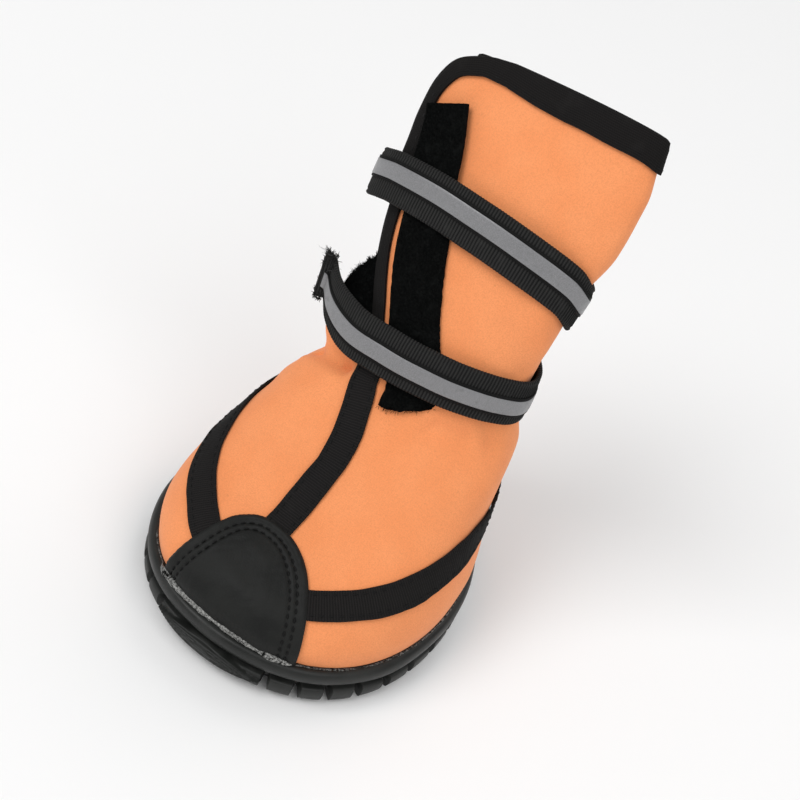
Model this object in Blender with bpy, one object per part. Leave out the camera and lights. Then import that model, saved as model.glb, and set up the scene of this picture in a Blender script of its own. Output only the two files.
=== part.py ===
"""Dog boot with a cupped rubber sole, a hollow sewn upper with a lapped front flap, and two webbing straps.

The toe points to -Y, the sole stands on Z = 0 and the wearer's side that the flap laps over is -X.
Sizes and tables are in millimetres. make_mesh turns them into metres.
"""

import math

import bmesh
import bpy
import numpy as np

MM = 0.001

# Driving dimensions
SOLE_LENGTH = 94.0
SOLE_WIDTH = 76.0
EGG = 0.10
FULLNESS = 0.95
RIM_TOP = 10.6
CUP_FLOOR = 5.0
TOE_SPRING = 2.6
TOE_SPRING_START = -23.0
HEEL_SPRING = 1.2
HEEL_SPRING_START = 30.0
WALL = 2.0
GAP = 0.35
BINDING_GAP = 0.5
LUG_COUNT = 34
LUG_DEPTH = 2.1
TREAD_DEPTH = 1.6
TREAD_GROOVE = 3.0
TREAD_ROWS = (-27.4, -19.6, -11.8, -4.0, 13.6, 21.4, 29.2)
TREAD_CHEVRON = 4.0
ARCH_DEPTH = 1.0
ARCH_LENGTH = 26.0
ARCH_MIDDLE = 6.0
INNER_RINGS = (24.0,)
INSOLE_THICKNESS = 3.0
TRIM_THICKNESS = 0.7
LAP_DEPTH = WALL + 2 * GAP + TRIM_THICKNESS + 0.15
CAP_THICKNESS = 1.0
CAP_ANGLE = math.radians(27.5)
CAP_LEFT_TRIM = 0.15
CAP_START_ROW = 1.12
CAP_END_ROW = 5.0
BINDING_WIDTH = 7.0
FLAP_BINDING_WIDTH = 3.2
TAPE_WIDTH = 6.8
BACK_TAPE_START_ROW = 1.15
BACK_TAPE_END_ROW = 13.12
SIDE_TAPE_START_RIGHT = 26.5
SIDE_TAPE_START_LEFT = 29.5
LOOP_WIDTH = 11.0
LOOP_THICKNESS = 1.2
STRAP_WIDTH = 12.0
STRAP_THICKNESS = 1.2
STRIPE_WIDTH = 3.8
STRIPE_THICKNESS = 0.3
STRIPE_GAP = 0.3
HOOK_THICKNESS = 1.0
HOOK_INSET = 0.7
COLLAR_TILT = 0.12
THROAT = 8.0
LAP_ROWS = 0.75

# Sections of the upper from the feather edge in the sole to the collar. A row is a tilted ring: where it
# crosses the front and the back, its reach to the right and left, the reach of the flap's own curve,
# how much of the sole's egg shape it has and how much of its toe spring.
SECTION_COLUMNS = ("y_front", "z_front", "y_back", "z_back", "right", "left", "flap", "egg", "spring")
SECTIONS = {
    "feather": (-42.6, 5.5, 42.6, 5.5, 33.6, 33.6, 33.6, 1.0, 1.0),
    "rim": (-43.3, 11.0, 43.5, 11.0, 34.3, 34.3, 34.3, 1.0, 1.0),
    "side": (-43.2, 15.5, 44.4, 18.0, 34.8, 34.8, 34.8, 1.0, 0.8),
    "toe bend": (-39.5, 21.5, 44.6, 26.5, 33.9, 33.9, 33.9, 0.9, 0.4),
    "cap": (-32.5, 25.2, 44.0, 34.0, 32.0, 32.0, 32.0, 0.7, 0.0),
    "cap top": (-24.0, 28.2, 42.8, 41.0, 29.8, 29.8, 29.8, 0.5, 0.0),
    "vamp": (-13.5, 34.0, 41.4, 47.0, 27.6, 27.6, 27.6, 0.3, 0.0),
    "instep": (-3.0, 42.4, 39.8, 52.5, 25.8, 25.6, 25.6, 0.0, 0.0),
    "throat": (5.0, 52.5, 38.4, 57.5, 24.4, 23.6, 23.6, 0.0, 0.0),
    "ankle": (9.0, 61.0, 37.8, 63.0, 23.8, 21.6, 24.0, 0.0, 0.0),
    "shaft low": (12.8, 72.0, 38.2, 71.5, 24.0, 20.2, 25.2, 0.0, 0.0),
    "shaft": (17.6, 85.0, 39.4, 83.0, 24.6, 20.4, 26.4, 0.0, 0.0),
    "shaft high": (23.0, 98.5, 41.0, 95.0, 25.6, 21.2, 27.0, 0.0, 0.0),
    "cuff": (28.6, 112.3, 43.2, 106.5, 25.8, 21.8, 27.6, 0.0, 0.0),
    "cuff top": (33.0, 122.6, 44.8, 115.3, 25.2, 22.0, 27.8, 0.0, 0.0),
    "collar": (35.4, 127.6, 45.6, 119.5, 24.9, 22.0, 27.8, 0.0, 0.0),
}
SECTION_TABLE = np.array(list(SECTIONS.values()))
SECTION_PLACES = np.arange(len(SECTIONS), dtype=float)
TOP_ROW = len(SECTIONS) - 1

# Where the flap's free edge and the hidden edge under it lie at a row, sideways from the front's middle
EDGE_COLUMNS = ("row", "flap_edge_x", "hidden_edge_x")
EDGES = (
    (8.0, -5.6, -5.6),
    (8.5, -6.8, -8.2),
    (9.0, -8.8, -8.6),
    (10.0, -14.4, -7.0),
    (11.0, -20.0, -6.0),
    (12.0, -23.8, -6.0),
    (13.0, -25.6, -6.0),
    (13.6, -25.1, -6.0),
    (14.1, -23.5, -6.0),
    (14.5, -21.0, -6.0),
    (14.8, -17.6, -6.0),
    (14.95, -14.2, -6.0),
    (15.0, -11.0, -6.0),
)
EDGE_TABLE = np.array(EDGES)

# Where the front seam runs below the throat
SEAM_COLUMNS = ("row", "x")
SEAM = ((1.0, 0.8), (5.0, -1.8), (6.5, -2.6), (8.0, -5.6))
SEAM_TABLE = np.array(SEAM)

# Each side tape's rise from the toe cap's shoulder to the back seam
SIDE_TAPE_COLUMNS = ("degrees", "row")
SIDE_TAPE = ((26.5, 3.47), (50.0, 3.66), (70.0, 3.79), (95.0, 3.93), (130.0, 4.05), (173.0, 4.15))

# The loop strip's middle on the flap
LOOP_STRIP_COLUMNS = ("row", "x")
LOOP_STRIP = (
    (7.9, 5.2),
    (8.5, 3.5),
    (9.2, 0.4),
    (10.0, -4.3),
    (11.0, -9.6),
    (12.0, -13.9),
    (12.6, -16.0),
    (13.1, -18.2),
)
LOOP_OVER_BINDING = (12.3, 12.75)

# Each strap's route from the back round the wearer's right side and the front to its free end
STRAP_COLUMNS = ("degrees", "row", "lift")
STRAPS = {
    "upper": (
        (184.0, 11.2, 1.8),
        (150.0, 11.1, 1.0),
        (95.0, 11.1, 0.7),
        (60.0, 11.5, 1.0),
        (20.0, 11.75, 1.8),
        (-20.0, 11.85, 2.2),
        (-55.0, 11.7, 2.8),
        (-80.0, 11.4, 3.4),
        (-100.0, 11.15, 3.0),
        (-135.0, 11.1, 1.8),
    ),
    "lower": (
        (184.0, 8.6, 2.3),
        (150.0, 8.6, 1.4),
        (95.0, 8.65, 0.8),
        (60.0, 8.85, 1.0),
        (20.0, 9.0, 2.0),
        (-10.0, 9.0, 2.6),
        (-35.0, 8.9, 3.4),
        (-60.0, 8.95, 4.4),
        (-78.0, 9.2, 7.0),
    ),
}

# A strap's sections along its route, and the first and last of them that its stripe and its hook pad cover
STRAP_SECTIONS = 36
STRIPE_REACH = (1, 34)
HOOK_PAD_COLUMNS = ("first", "last", "rise")
HOOK_PADS = {"upper": (28, 34, 0.0), "lower": (27, 33, 8.0)}

# The sheet's columns from the flap's edge to the right fold, the back, the left fold and the hidden edge
RUN_COLUMNS = (12, 8, 8, 12)
FOOT_ROWS = 13
SHAFT_ROWS = (8.4, 8.8, 9.5, 10.25, 11.0, 11.75, 12.5, 13.2, 13.8, 14.3, 14.7, 15.0)

# The outsole's side from the tread up and over the rim: inset, height, share of the lug cut and of the bumper
SOLE_SIDE_COLUMNS = ("inset", "height", "cut_in", "bump_out", "bump_up")
SOLE_SIDE = (
    (2.2, 0.0, 0.6, 0.0, 0.0),
    (0.9, 0.6, 1.0, 0.4, 0.4),
    (0.3, 2.4, 1.0, 1.0, 0.0),
    (0.5, 4.6, 0.8, 1.0, -0.2),
    (2.0, 5.3, 0.0, 0.0, 0.0),
    (0.5, 6.6, 0.0, 0.0, 0.0),
    (0.1, 9.0, 0.0, 0.0, 0.0),
    (1.2, RIM_TOP - 0.2, 0.0, 0.0, 0.0),
    (2.7, RIM_TOP, 0.0, 0.0, 0.0),
    (3.25, RIM_TOP - 0.8, 0.0, 0.0, 0.0),
    (3.9, CUP_FLOOR, 0.0, 0.0, 0.0),
)
# One lug's pitch: how far along it each column stands, and whether the column lies in the cut
LUG_COLUMNS = ("along", "cut")
LUG = ((0.10, 0), (0.90, 0), (1.0, 1))
BUMPER_HALF_ANGLE = math.radians(20.5)
BUMPER_OUT = 0.9

COLOURS = {
    "rubber": ((0.018, 0.018, 0.020, 1.0), 0.55),
    "fabric": ((0.93, 0.30, 0.10, 1.0), 0.85),
    "lining": ((0.05, 0.05, 0.055, 1.0), 0.9),
    "coated": ((0.022, 0.024, 0.026, 1.0), 0.6),
    "binding": ((0.012, 0.012, 0.014, 1.0), 0.85),
    "tape": ((0.014, 0.014, 0.016, 1.0), 0.8),
    "pile": ((0.008, 0.008, 0.009, 1.0), 0.95),
    "webbing": ((0.016, 0.016, 0.018, 1.0), 0.8),
    "reflective": ((0.26, 0.26, 0.27, 1.0), 0.4),
}


def clear_scene():
    for obj in list(bpy.data.objects):
        bpy.data.objects.remove(obj, do_unlink=True)


def material(name):
    found = bpy.data.materials.get(name)
    if found:
        return found
    colour, roughness = COLOURS[name]
    made = bpy.data.materials.new(name)
    made.use_nodes = True
    shader = made.node_tree.nodes["Principled BSDF"]
    shader.inputs["Base Color"].default_value = colour
    shader.inputs["Roughness"].default_value = roughness
    shader.inputs["Metallic"].default_value = 0.0
    return made


def make_mesh(name, points, faces, finish):
    """Makes one named object from points in millimetres, welded and with its faces turned outwards."""
    mesh = bpy.data.meshes.new(name)
    mesh.from_pydata([tuple(float(c) * MM for c in p) for p in points], [], faces)
    work = bmesh.new()
    work.from_mesh(mesh)
    bmesh.ops.remove_doubles(work, verts=work.verts, dist=1e-7)
    bmesh.ops.dissolve_degenerate(work, edges=work.edges, dist=1e-7)
    bmesh.ops.recalc_face_normals(work, faces=work.faces)
    if work.calc_volume(signed=True) < 0:
        bmesh.ops.reverse_faces(work, faces=work.faces)
    work.to_mesh(mesh)
    work.free()
    mesh.shade_smooth()
    mesh.set_sharp_from_angle(angle=math.radians(40))
    mesh.materials.append(material(finish))
    obj = bpy.data.objects.new(name, mesh)
    bpy.context.scene.collection.objects.link(obj)
    return obj


def smooth_read(columns, places, at):
    """Reads a table's columns at a place between its rows, on a cubic through the rows."""
    last = len(places) - 1
    i = int(np.clip(np.searchsorted(places, at, side="right") - 1, 0, last - 1))
    span = places[i + 1] - places[i]
    f = (at - places[i]) / span
    before = columns[max(i - 1, 0)]
    after = columns[min(i + 2, last)]
    slope_a = (columns[i + 1] - before) / (places[i + 1] - places[max(i - 1, 0)]) * span
    slope_b = (after - columns[i]) / (places[min(i + 2, last)] - places[i]) * span
    return (
        (2 * f**3 - 3 * f**2 + 1) * columns[i]
        + (f**3 - 2 * f**2 + f) * slope_a
        + (-2 * f**3 + 3 * f**2) * columns[i + 1]
        + (f**3 - f**2) * slope_b
    )


def table_read(table, at):
    """Reads a table at a place in its first column, on a cubic through its rows."""
    return smooth_read(table, table[:, 0], at)


def egg_shape(angle, egg):
    """How far the outline reaches sideways at an angle from the toe, from -1 to 1."""
    s = math.sin(angle)
    reach = math.copysign(abs(s) ** FULLNESS, s) * (1 + egg * math.cos(angle))
    return reach / (1 + 0.5 * egg * egg)


def spring(y):
    """How high the sole lifts off the floor at the toe and the heel."""
    toe = max(0.0, TOE_SPRING_START - y) / (SOLE_LENGTH / 2 + TOE_SPRING_START)
    heel = max(0.0, y - HEEL_SPRING_START) / (SOLE_LENGTH / 2 - HEEL_SPRING_START)
    return TOE_SPRING * toe**2 + HEEL_SPRING * heel**2


def outline(angle, inset, height):
    """A point of the sole's outline, inset by a distance and raised with the toe spring."""
    x = (SOLE_WIDTH / 2 - inset) * egg_shape(angle, EGG)
    y = -(SOLE_LENGTH / 2 - inset) * math.cos(angle)
    return np.array((x, y, height + spring(y)))


def ring(angle, row, lapped, inset):
    """A point of the upper's section at a row, by the angle from the front round the wearer's right side.

    Past pi the section follows the left side, and from there on to the front it lies lapped below the flap.
    """
    y_f, z_f, y_b, z_b, right, left, flap, egg, lift = smooth_read(SECTION_TABLE, SECTION_PLACES, row)
    hidden = angle > math.pi
    side = right if math.sin(angle) >= 0 else (left if hidden else flap)
    depth = math.cos(angle)
    front = depth > 0
    mid_y = 0.5 * (y_f + y_b)
    mid_z = 0.5 * (z_f + z_b)
    half_y = 0.5 * (y_b - y_f)
    half_z = 0.5 * (z_b - z_f)
    length = math.hypot(half_y, half_z)
    sunk = lapped if (hidden and front) else 0.0
    scale = (length - inset - sunk) / length
    x = (side - inset) * egg_shape(angle, EGG * egg)
    y = mid_y - half_y * scale * depth
    z = mid_z - half_z * scale * depth
    tilt = COLLAR_TILT * float(np.clip((row - THROAT) / (TOP_ROW - THROAT), 0.0, 1.0))
    return np.array((x, y, z + spring(y) * lift + tilt * x))


def lap(row):
    """How far the hidden panel lies below the flap's outer face."""
    return LAP_DEPTH * float(np.clip((row - THROAT) / LAP_ROWS, 0.0, 1.0))


def face_point(angle, row, inset=0.0):
    """A point of the upper's outer face, or of a smaller section inside it."""
    return ring(angle, row, lap(row), inset)


def round_face(angle, row):
    """A point of the outer face as if the front had no lap."""
    return ring(angle, row, 0.0, 0.0)


def edge_angle(x, row, reach_column):
    """The angle at which a section's front reaches a sideways distance."""
    reach = smooth_read(SECTION_TABLE, SECTION_PLACES, row)[SECTION_COLUMNS.index(reach_column)]
    part = float(np.clip(-x / reach, -1.0, 1.0))
    return -math.asin(abs(part) ** (1 / FULLNESS)) * (1 if part >= 0 else -1)


def edge_angles(row):
    """Angles of the flap's free edge and of the hidden edge at a row, the second one turn further on."""
    if row <= THROAT:
        seam = seam_angle(row)
        return seam, seam + 2 * math.pi
    _, flap_x, hidden_x = table_read(EDGE_TABLE, row)
    return edge_angle(flap_x, row, "flap"), edge_angle(hidden_x, row, "left") + 2 * math.pi


def seam_angle(row):
    """The angle of the front seam at a row."""
    return edge_angle(float(np.interp(row, SEAM_TABLE[:, 0], SEAM_TABLE[:, 1])), row, "flap")


def sheet_angles(row):
    """Angles of the upper's columns at a row, with a column on each side fold and on the back seam."""
    start, end = edge_angles(row)
    turns = (start, math.pi / 2, math.pi, 1.5 * math.pi, end)
    angles = [start]
    for k, count in enumerate(RUN_COLUMNS):
        angles += list(np.linspace(turns[k], turns[k + 1], count + 1)[1:])
    return angles


def unit(vector):
    return vector / np.linalg.norm(vector)


def tangents(place, angle, row):
    """How a point of a face moves per unit of its angle and of its row."""
    step = 1e-3
    row = float(np.clip(row, step, TOP_ROW - step))
    along_angle = (place(angle + step, row) - place(angle - step, row)) / (2 * step)
    along_row = (place(angle, row + step) - place(angle, row - step)) / (2 * step)
    return along_angle, along_row


def normal_at(place, angle, row):
    """Outward unit normal of a face given as a function of angle and row."""
    return unit(np.cross(*tangents(place, angle, row)))


def walk(place, angle, row, heading, distance):
    """Follows a face along a heading for a distance, in a few short steps."""
    steps = 5
    for _ in range(steps):
        along = np.stack(tangents(place, angle, row), 1)
        n = unit(np.cross(along[:, 0], along[:, 1]))
        flat = unit(heading - np.dot(heading, n) * n)
        turn, rise = np.linalg.lstsq(along, flat, rcond=None)[0]
        angle += turn * distance / steps
        row += rise * distance / steps
    return angle, row


def sheet_outer(angle, row, lift=0.0):
    """The upper's outer face, or a point that stands off it."""
    return lifted(face_point, angle, row, lift)


def sheet_inner(angle, row, lift=0.0):
    """The inner face: along the normal in the foot, and a smaller section in the flat shaft."""
    by_normal = lifted(face_point, angle, row, -(WALL + lift))
    by_section = face_point(angle, row, WALL + lift)
    part = float(np.clip((row - 7.0) / 1.5, 0.0, 1.0))
    return by_normal * (1 - part) + by_section * part


def lifted(place, angle, row, lift):
    """A point that stands off a face by a distance."""
    return place(angle, row) + lift * normal_at(place, angle, row)


def grid_solid(name, outer, inner, finish):
    """A sheet between two grids of points, closed round its border."""
    rows = len(outer)
    columns = len(outer[0])
    points = [p for line in outer + inner for p in line]
    half = rows * columns
    faces = []
    for r in range(rows - 1):
        for c in range(columns - 1):
            quad = (r * columns + c, r * columns + c + 1, (r + 1) * columns + c + 1, (r + 1) * columns + c)
            faces.append(quad)
            faces.append(tuple(half + k for k in quad[::-1]))
    for c in range(columns - 1):
        top = (rows - 1) * columns + c
        faces.append((c, half + c, half + c + 1, c + 1))
        faces.append((top + 1, half + top + 1, half + top, top))
    for r in range(rows - 1):
        low, high = r * columns, (r + 1) * columns
        faces.append((high, half + high, half + low, low))
        low, high = low + columns - 1, high + columns - 1
        faces.append((low, half + low, half + high, high))
    return make_mesh(name, points, faces, finish)


def sweep_solid(name, sections, finish):
    """A solid swept through closed sections of equal point count."""
    count = len(sections)
    size = len(sections[0])
    points = [p for section in sections for p in section]
    faces = []
    for i in range(count - 1):
        for k in range(size):
            m = (k + 1) % size
            faces.append((i * size + k, i * size + m, (i + 1) * size + m, (i + 1) * size + k))
    faces.append(tuple(range(size - 1, -1, -1)))
    faces.append(tuple((count - 1) * size + k for k in range(size)))
    return make_mesh(name, points, faces, finish)


def ring_solid(name, lines, finish):
    """A disc-like solid lofted round the sole's outline, from lines that run from its under face to its top."""
    count = len(lines)
    size = len(lines[0])
    points = [p for line in lines for p in line]
    faces = []
    for i in range(count):
        j = (i + 1) % count
        for k in range(size - 1):
            faces.append((i * size + k, j * size + k, j * size + k + 1, i * size + k + 1))
    faces.append(tuple(i * size for i in range(count - 1, -1, -1)))
    faces.append(tuple(i * size + size - 1 for i in range(count)))
    return make_mesh(name, points, faces, finish)


def upper():
    """The sewn sheet: closed below the throat, and open along the flap's edge above it."""
    rows = list(np.linspace(0.0, THROAT, FOOT_ROWS)) + list(SHAFT_ROWS)
    outer, inner, faces = [], [], []
    for row in rows:
        angles = sheet_angles(row)
        outer.append([sheet_outer(angle, row) for angle in angles])
        inner.append([sheet_inner(angle, row) for angle in angles])
    for i, row in enumerate(rows):
        if row <= THROAT:
            outer[i][-1] = outer[i][0]
            inner[i][-1] = inner[i][0]
    size = len(outer[0])
    half = len(rows) * size
    points = [p for line in outer + inner for p in line]
    for r in range(len(rows) - 1):
        for c in range(size - 1):
            quad = (r * size + c, r * size + c + 1, (r + 1) * size + c + 1, (r + 1) * size + c)
            faces.append(quad)
            faces.append(tuple(half + k for k in quad[::-1]))
        if rows[r] >= THROAT:
            for c, turn in ((0, 1), (size - 1, -1)):
                low, high = r * size + c, (r + 1) * size + c
                faces.append((high, half + high, half + low, low)[::turn])
    for c in range(size - 1):
        top = (len(rows) - 1) * size + c
        faces.append((c, half + c, half + c + 1, c + 1))
        faces.append((top + 1, half + top + 1, half + top, top))
    return make_mesh("upper", points, faces, "fabric")


def toe_bumper(angle):
    """1 at the middle of the toe bumper, falling to 0 at its ends."""
    turn = math.atan2(math.sin(angle), math.cos(angle))
    return max(0.0, 1.0 - (turn / BUMPER_HALF_ANGLE) ** 2)


def outsole():
    """The cup sole, lofted from the tread up the side, over the rim and down into the cup."""
    lines = []
    pitch = 2 * math.pi / LUG_COUNT
    for lug in range(LUG_COUNT):
        for along, cut in LUG:
            angle = (lug + along) * pitch
            bump = toe_bumper(angle)
            depth = 0.0 if bump > 0.05 else LUG_DEPTH * cut
            pad = BUMPER_OUT * math.sqrt(bump)
            line = [outline(angle, inset, 0.0) for inset in INNER_RINGS]
            for inset, height, cut_in, bump_out, bump_up in SOLE_SIDE:
                line.append(outline(angle, inset + depth * cut_in - pad * bump_out, height + pad * bump_up))
            line += [outline(angle, inset, CUP_FLOOR) for inset in INNER_RINGS[::-1]]
            lines.append(line)
    sole = ring_solid("outsole", lines, "rubber")
    apply_cut(sole, tread_cutter())
    apply_cut(sole, arch_cutter())
    return sole


def tread_cutter():
    """Chevron bars that cut the tread's grooves."""
    points, faces = [], []
    for y in TREAD_ROWS:
        reach = INNER_RINGS[0] * math.sqrt(1 - (2 * y / SOLE_LENGTH) ** 2)
        base = len(points)
        path = ((-reach, y + TREAD_CHEVRON), (0.0, y), (reach, y + TREAD_CHEVRON))
        for z in (-2.0, TREAD_DEPTH):
            for x, at in path:
                points.append((x, at, z))
                points.append((x, at + TREAD_GROOVE, z))
        for k in range(2):
            a = base + 2 * k
            faces.append((a, a + 1, a + 3, a + 2))
            faces.append((a + 6, a + 8, a + 9, a + 7))
            faces.append((a, a + 2, a + 8, a + 6))
            faces.append((a + 1, a + 7, a + 9, a + 3))
        faces.append((base, base + 6, base + 7, base + 1))
        faces.append((base + 4, base + 5, base + 11, base + 10))
    return make_mesh("cutter_tread", points, faces, "rubber")


def arch_cutter():
    """A wide cylinder across the sole that hollows its arch."""
    radius = (0.25 * ARCH_LENGTH**2 + ARCH_DEPTH**2) / (2 * ARCH_DEPTH)
    segments = 96
    sections = []
    for x in (-SOLE_WIDTH, SOLE_WIDTH):
        turns = np.linspace(0.0, 2 * math.pi, segments, endpoint=False)
        middle = ARCH_DEPTH - radius
        sections.append([(x, ARCH_MIDDLE + radius * math.sin(t), middle + radius * math.cos(t)) for t in turns])
    return sweep_solid("cutter_arch", sections, "rubber")


def apply_cut(target, cutter):
    cutter.hide_render = True
    cutter.display_type = "WIRE"
    cut = target.modifiers.new("cut_" + cutter.name, "BOOLEAN")
    cut.operation = "DIFFERENCE"
    cut.solver = "EXACT"
    cut.object = cutter


def insole():
    """A foam sole that lies in the cup, inside the upper's feather edge."""
    low = CUP_FLOOR + GAP
    top = low + INSOLE_THICKNESS
    side = ((7.3, low), (6.9, low + 0.5), (7.1, top - 0.4), (7.7, top))
    lines = []
    for angle in np.linspace(0.0, 2 * math.pi, 32, endpoint=False):
        line = [(inset, low) for inset in INNER_RINGS] + list(side) + [(inset, top) for inset in INNER_RINGS[::-1]]
        lines.append([outline(angle, inset, height) for inset, height in line])
    return ring_solid("insole", lines, "lining")


def band(name, place, path, width, thickness, finish, lifts, across=3):
    """A tape of even width on a face, along a path of angles and rows."""
    centre = [place(*at) for at in path]
    outer, inner = [], []
    for i, (angle, row) in enumerate(path):
        ahead = unit(centre[min(i + 1, len(path) - 1)] - centre[max(i - 1, 0)])
        side = np.cross(ahead, normal_at(place, angle, row))
        places = [walk(place, angle, row, side, width * part) for part in np.linspace(-0.5, 0.5, across)]
        outer.append([lifted(place, *at, lifts[i] + thickness) for at in places])
        inner.append([lifted(place, *at, lifts[i]) for at in places])
    return grid_solid(name, outer, inner, finish)


def foot_band(name, path):
    """A seam tape on the outer face."""
    return band(name, round_face, path, TAPE_WIDTH, TRIM_THICKNESS, "tape", [GAP] * len(path))


def cap_half_angle(row, side):
    """Half the toe cap's spread at a row: straight sides that close in a round, the left one slimmer."""
    f = (row - CAP_START_ROW) / (CAP_END_ROW - CAP_START_ROW)
    trim = CAP_LEFT_TRIM * math.sin(math.pi * f) if side < 0 else 0.0
    return CAP_ANGLE * (1 - f**2.3) ** (1 / 2.1) * (1 + 0.12 * f) * (1 - trim)


def toe_cap():
    """A coated patch over the toe, from the sole's rim to a round edge on the instep."""
    outer, inner = [], []
    for quarter in np.linspace(0.0, 0.965, 12):
        f = math.sin(math.pi / 2 * quarter)
        row = CAP_START_ROW + f * (CAP_END_ROW - CAP_START_ROW)
        middle = seam_angle(row)
        angles = [middle + cap_half_angle(row, part) * part for part in np.linspace(-1, 1, 11)]
        outer.append([lifted(round_face, angle, row, GAP + CAP_THICKNESS) for angle in angles])
        inner.append([lifted(round_face, angle, row, GAP) for angle in angles])
    return grid_solid("toe_cap", outer, inner, "coated")


def front_seam_tape():
    """Ribbon over the front seam, from the toe cap to the loop strip."""
    rows = np.linspace(CAP_END_ROW + 0.12, THROAT + 0.2, 12)
    return foot_band("front_seam_tape", [(seam_angle(row), row) for row in rows])


def side_tape(name, sense, start):
    """Ribbon from one shoulder of the toe cap round the heel to the back seam."""
    table = np.array(SIDE_TAPE)
    degrees = np.linspace(start, SIDE_TAPE[-1][0], 22)
    return foot_band(name, [(sense * math.radians(turn), table_read(table, turn)[1]) for turn in degrees])


def back_seam_tape():
    """Ribbon up the back seam, from the sole's rim to the collar binding."""
    rows = np.linspace(BACK_TAPE_START_ROW, BACK_TAPE_END_ROW, 22)
    return foot_band("back_seam_tape", [(math.pi, row) for row in rows])


def collar_binding():
    """A folded binding round the flap's free edge and the collar, down to the hidden edge."""
    rows = list(np.linspace(THROAT + 0.9, 13.4, 10)) + [13.8, 14.15, 14.45, 14.7, 14.88]
    places = [(edge_angles(row)[0], row) for row in rows]
    places += [(angle, float(TOP_ROW)) for angle in sheet_angles(TOP_ROW)]
    edge = [face_point(*at) for at in places]
    out = GAP + TRIM_THICKNESS
    leg = BINDING_GAP + TRIM_THICKNESS
    sections = []
    for i, (angle, row) in enumerate(places):
        tangent = unit(edge[max(i - 1, 0)] - edge[min(i + 1, len(edge) - 1)])
        inward = unit(np.cross(normal_at(face_point, angle, row), tangent))
        width = float(np.interp(row, (12.5, 14.5), (FLAP_BINDING_WIDTH, BINDING_WIDTH)))
        if angle < math.pi / 2:
            mid = walk(face_point, angle, row, inward, width * 0.5)
            far = walk(face_point, angle, row, inward, width)
        else:
            drop = width / np.linalg.norm(np.cross(tangents(face_point, angle, row)[1], tangent))
            mid = (angle, row - drop * 0.5)
            far = (angle, row - drop)
        face = edge[i]
        back = sheet_inner(angle, row)
        across = unit(face - back)
        sections.append([
            sheet_outer(*far, BINDING_GAP),
            sheet_outer(*far, leg),
            sheet_outer(*mid, leg),
            face + across * out - inward * GAP * 0.5,
            face + across * GAP - inward * out,
            back - across * GAP - inward * out,
            back - across * out - inward * GAP * 0.5,
            sheet_inner(*mid, leg),
            sheet_inner(*far, leg),
            sheet_inner(*far, BINDING_GAP),
            sheet_inner(*mid, BINDING_GAP),
            back - across * GAP - inward * GAP,
            face + across * GAP - inward * GAP,
            sheet_outer(*mid, BINDING_GAP),
        ])
    return sweep_solid("collar_binding", sections, "binding")


def loop_strip():
    """The loop side of the fastener on the flap, beside the flap's free edge and over its binding at the top."""
    table = np.array(LOOP_STRIP)
    path, lifts = [], []
    for row in np.linspace(LOOP_STRIP[0][0], LOOP_STRIP[-1][0], 16):
        x = table_read(table, row)[1]
        path.append((edge_angle(x, row, "flap" if x < 0 else "right"), row))
        lifts.append(float(np.interp(row, LOOP_OVER_BINDING, (GAP, 2 * GAP + TRIM_THICKNESS))))
    return band("loop_strip", face_point, path, LOOP_WIDTH, LOOP_THICKNESS, "pile", lifts)


def strap_sections(key, half_width, under, over, first=0, last=STRAP_SECTIONS - 1, rise=0.0):
    """Sections of a band on a strap's route, between two lifts over it.

    The band's upper edge may rise evenly towards its end.
    """
    table = np.array(STRAPS[key])[::-1]
    route = np.linspace(STRAPS[key][0][0], STRAPS[key][-1][0], STRAP_SECTIONS)
    sections = []
    for i in range(first, last + 1):
        degrees, row, lift = table_read(table, route[i])
        angle = math.radians(degrees)
        n = normal_at(round_face, angle, row)
        up = unit(tangents(round_face, angle, row)[1])
        low = round_face(angle, row) - up * half_width
        high = round_face(angle, row) + up * (half_width + rise * (i - first) / (last - first))
        sections.append([
            low + n * (lift + under),
            low + n * (lift + over),
            high + n * (lift + over),
            high + n * (lift + under),
        ])
    return sections


def strap(key):
    """A webbing strap with its reflective stripe, and the hook pad under its free end."""
    sweep_solid("strap_" + key, strap_sections(key, STRAP_WIDTH / 2, 0.0, STRAP_THICKNESS), "webbing")
    low = STRAP_THICKNESS + STRIPE_GAP
    stripe = strap_sections(key, STRIPE_WIDTH / 2, low, low + STRIPE_THICKNESS, *STRIPE_REACH)
    sweep_solid("reflective_stripe_" + key, stripe, "reflective")
    pad = strap_sections(key, STRAP_WIDTH / 2 - HOOK_INSET, -GAP - HOOK_THICKNESS, -GAP, *HOOK_PADS[key])
    sweep_solid("hook_pad_" + key, pad, "pile")


def build():
    clear_scene()
    outsole()
    insole()
    upper()
    toe_cap()
    front_seam_tape()
    side_tape("side_tape_right", 1, SIDE_TAPE_START_RIGHT)
    side_tape("side_tape_left", -1, SIDE_TAPE_START_LEFT)
    back_seam_tape()
    collar_binding()
    loop_strip()
    for key in STRAPS:
        strap(key)


build()
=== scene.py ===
"""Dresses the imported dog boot: cloth upper, rubber sole, tapes, straps, stitches, stage and camera.

Tables and sizes are in millimetres, in the frame of the CAD model: the toe points to -Y and the floor is Z = 0.
"""

import math

import bmesh
import bpy
import numpy as np
from mathutils import Matrix, Vector


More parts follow.
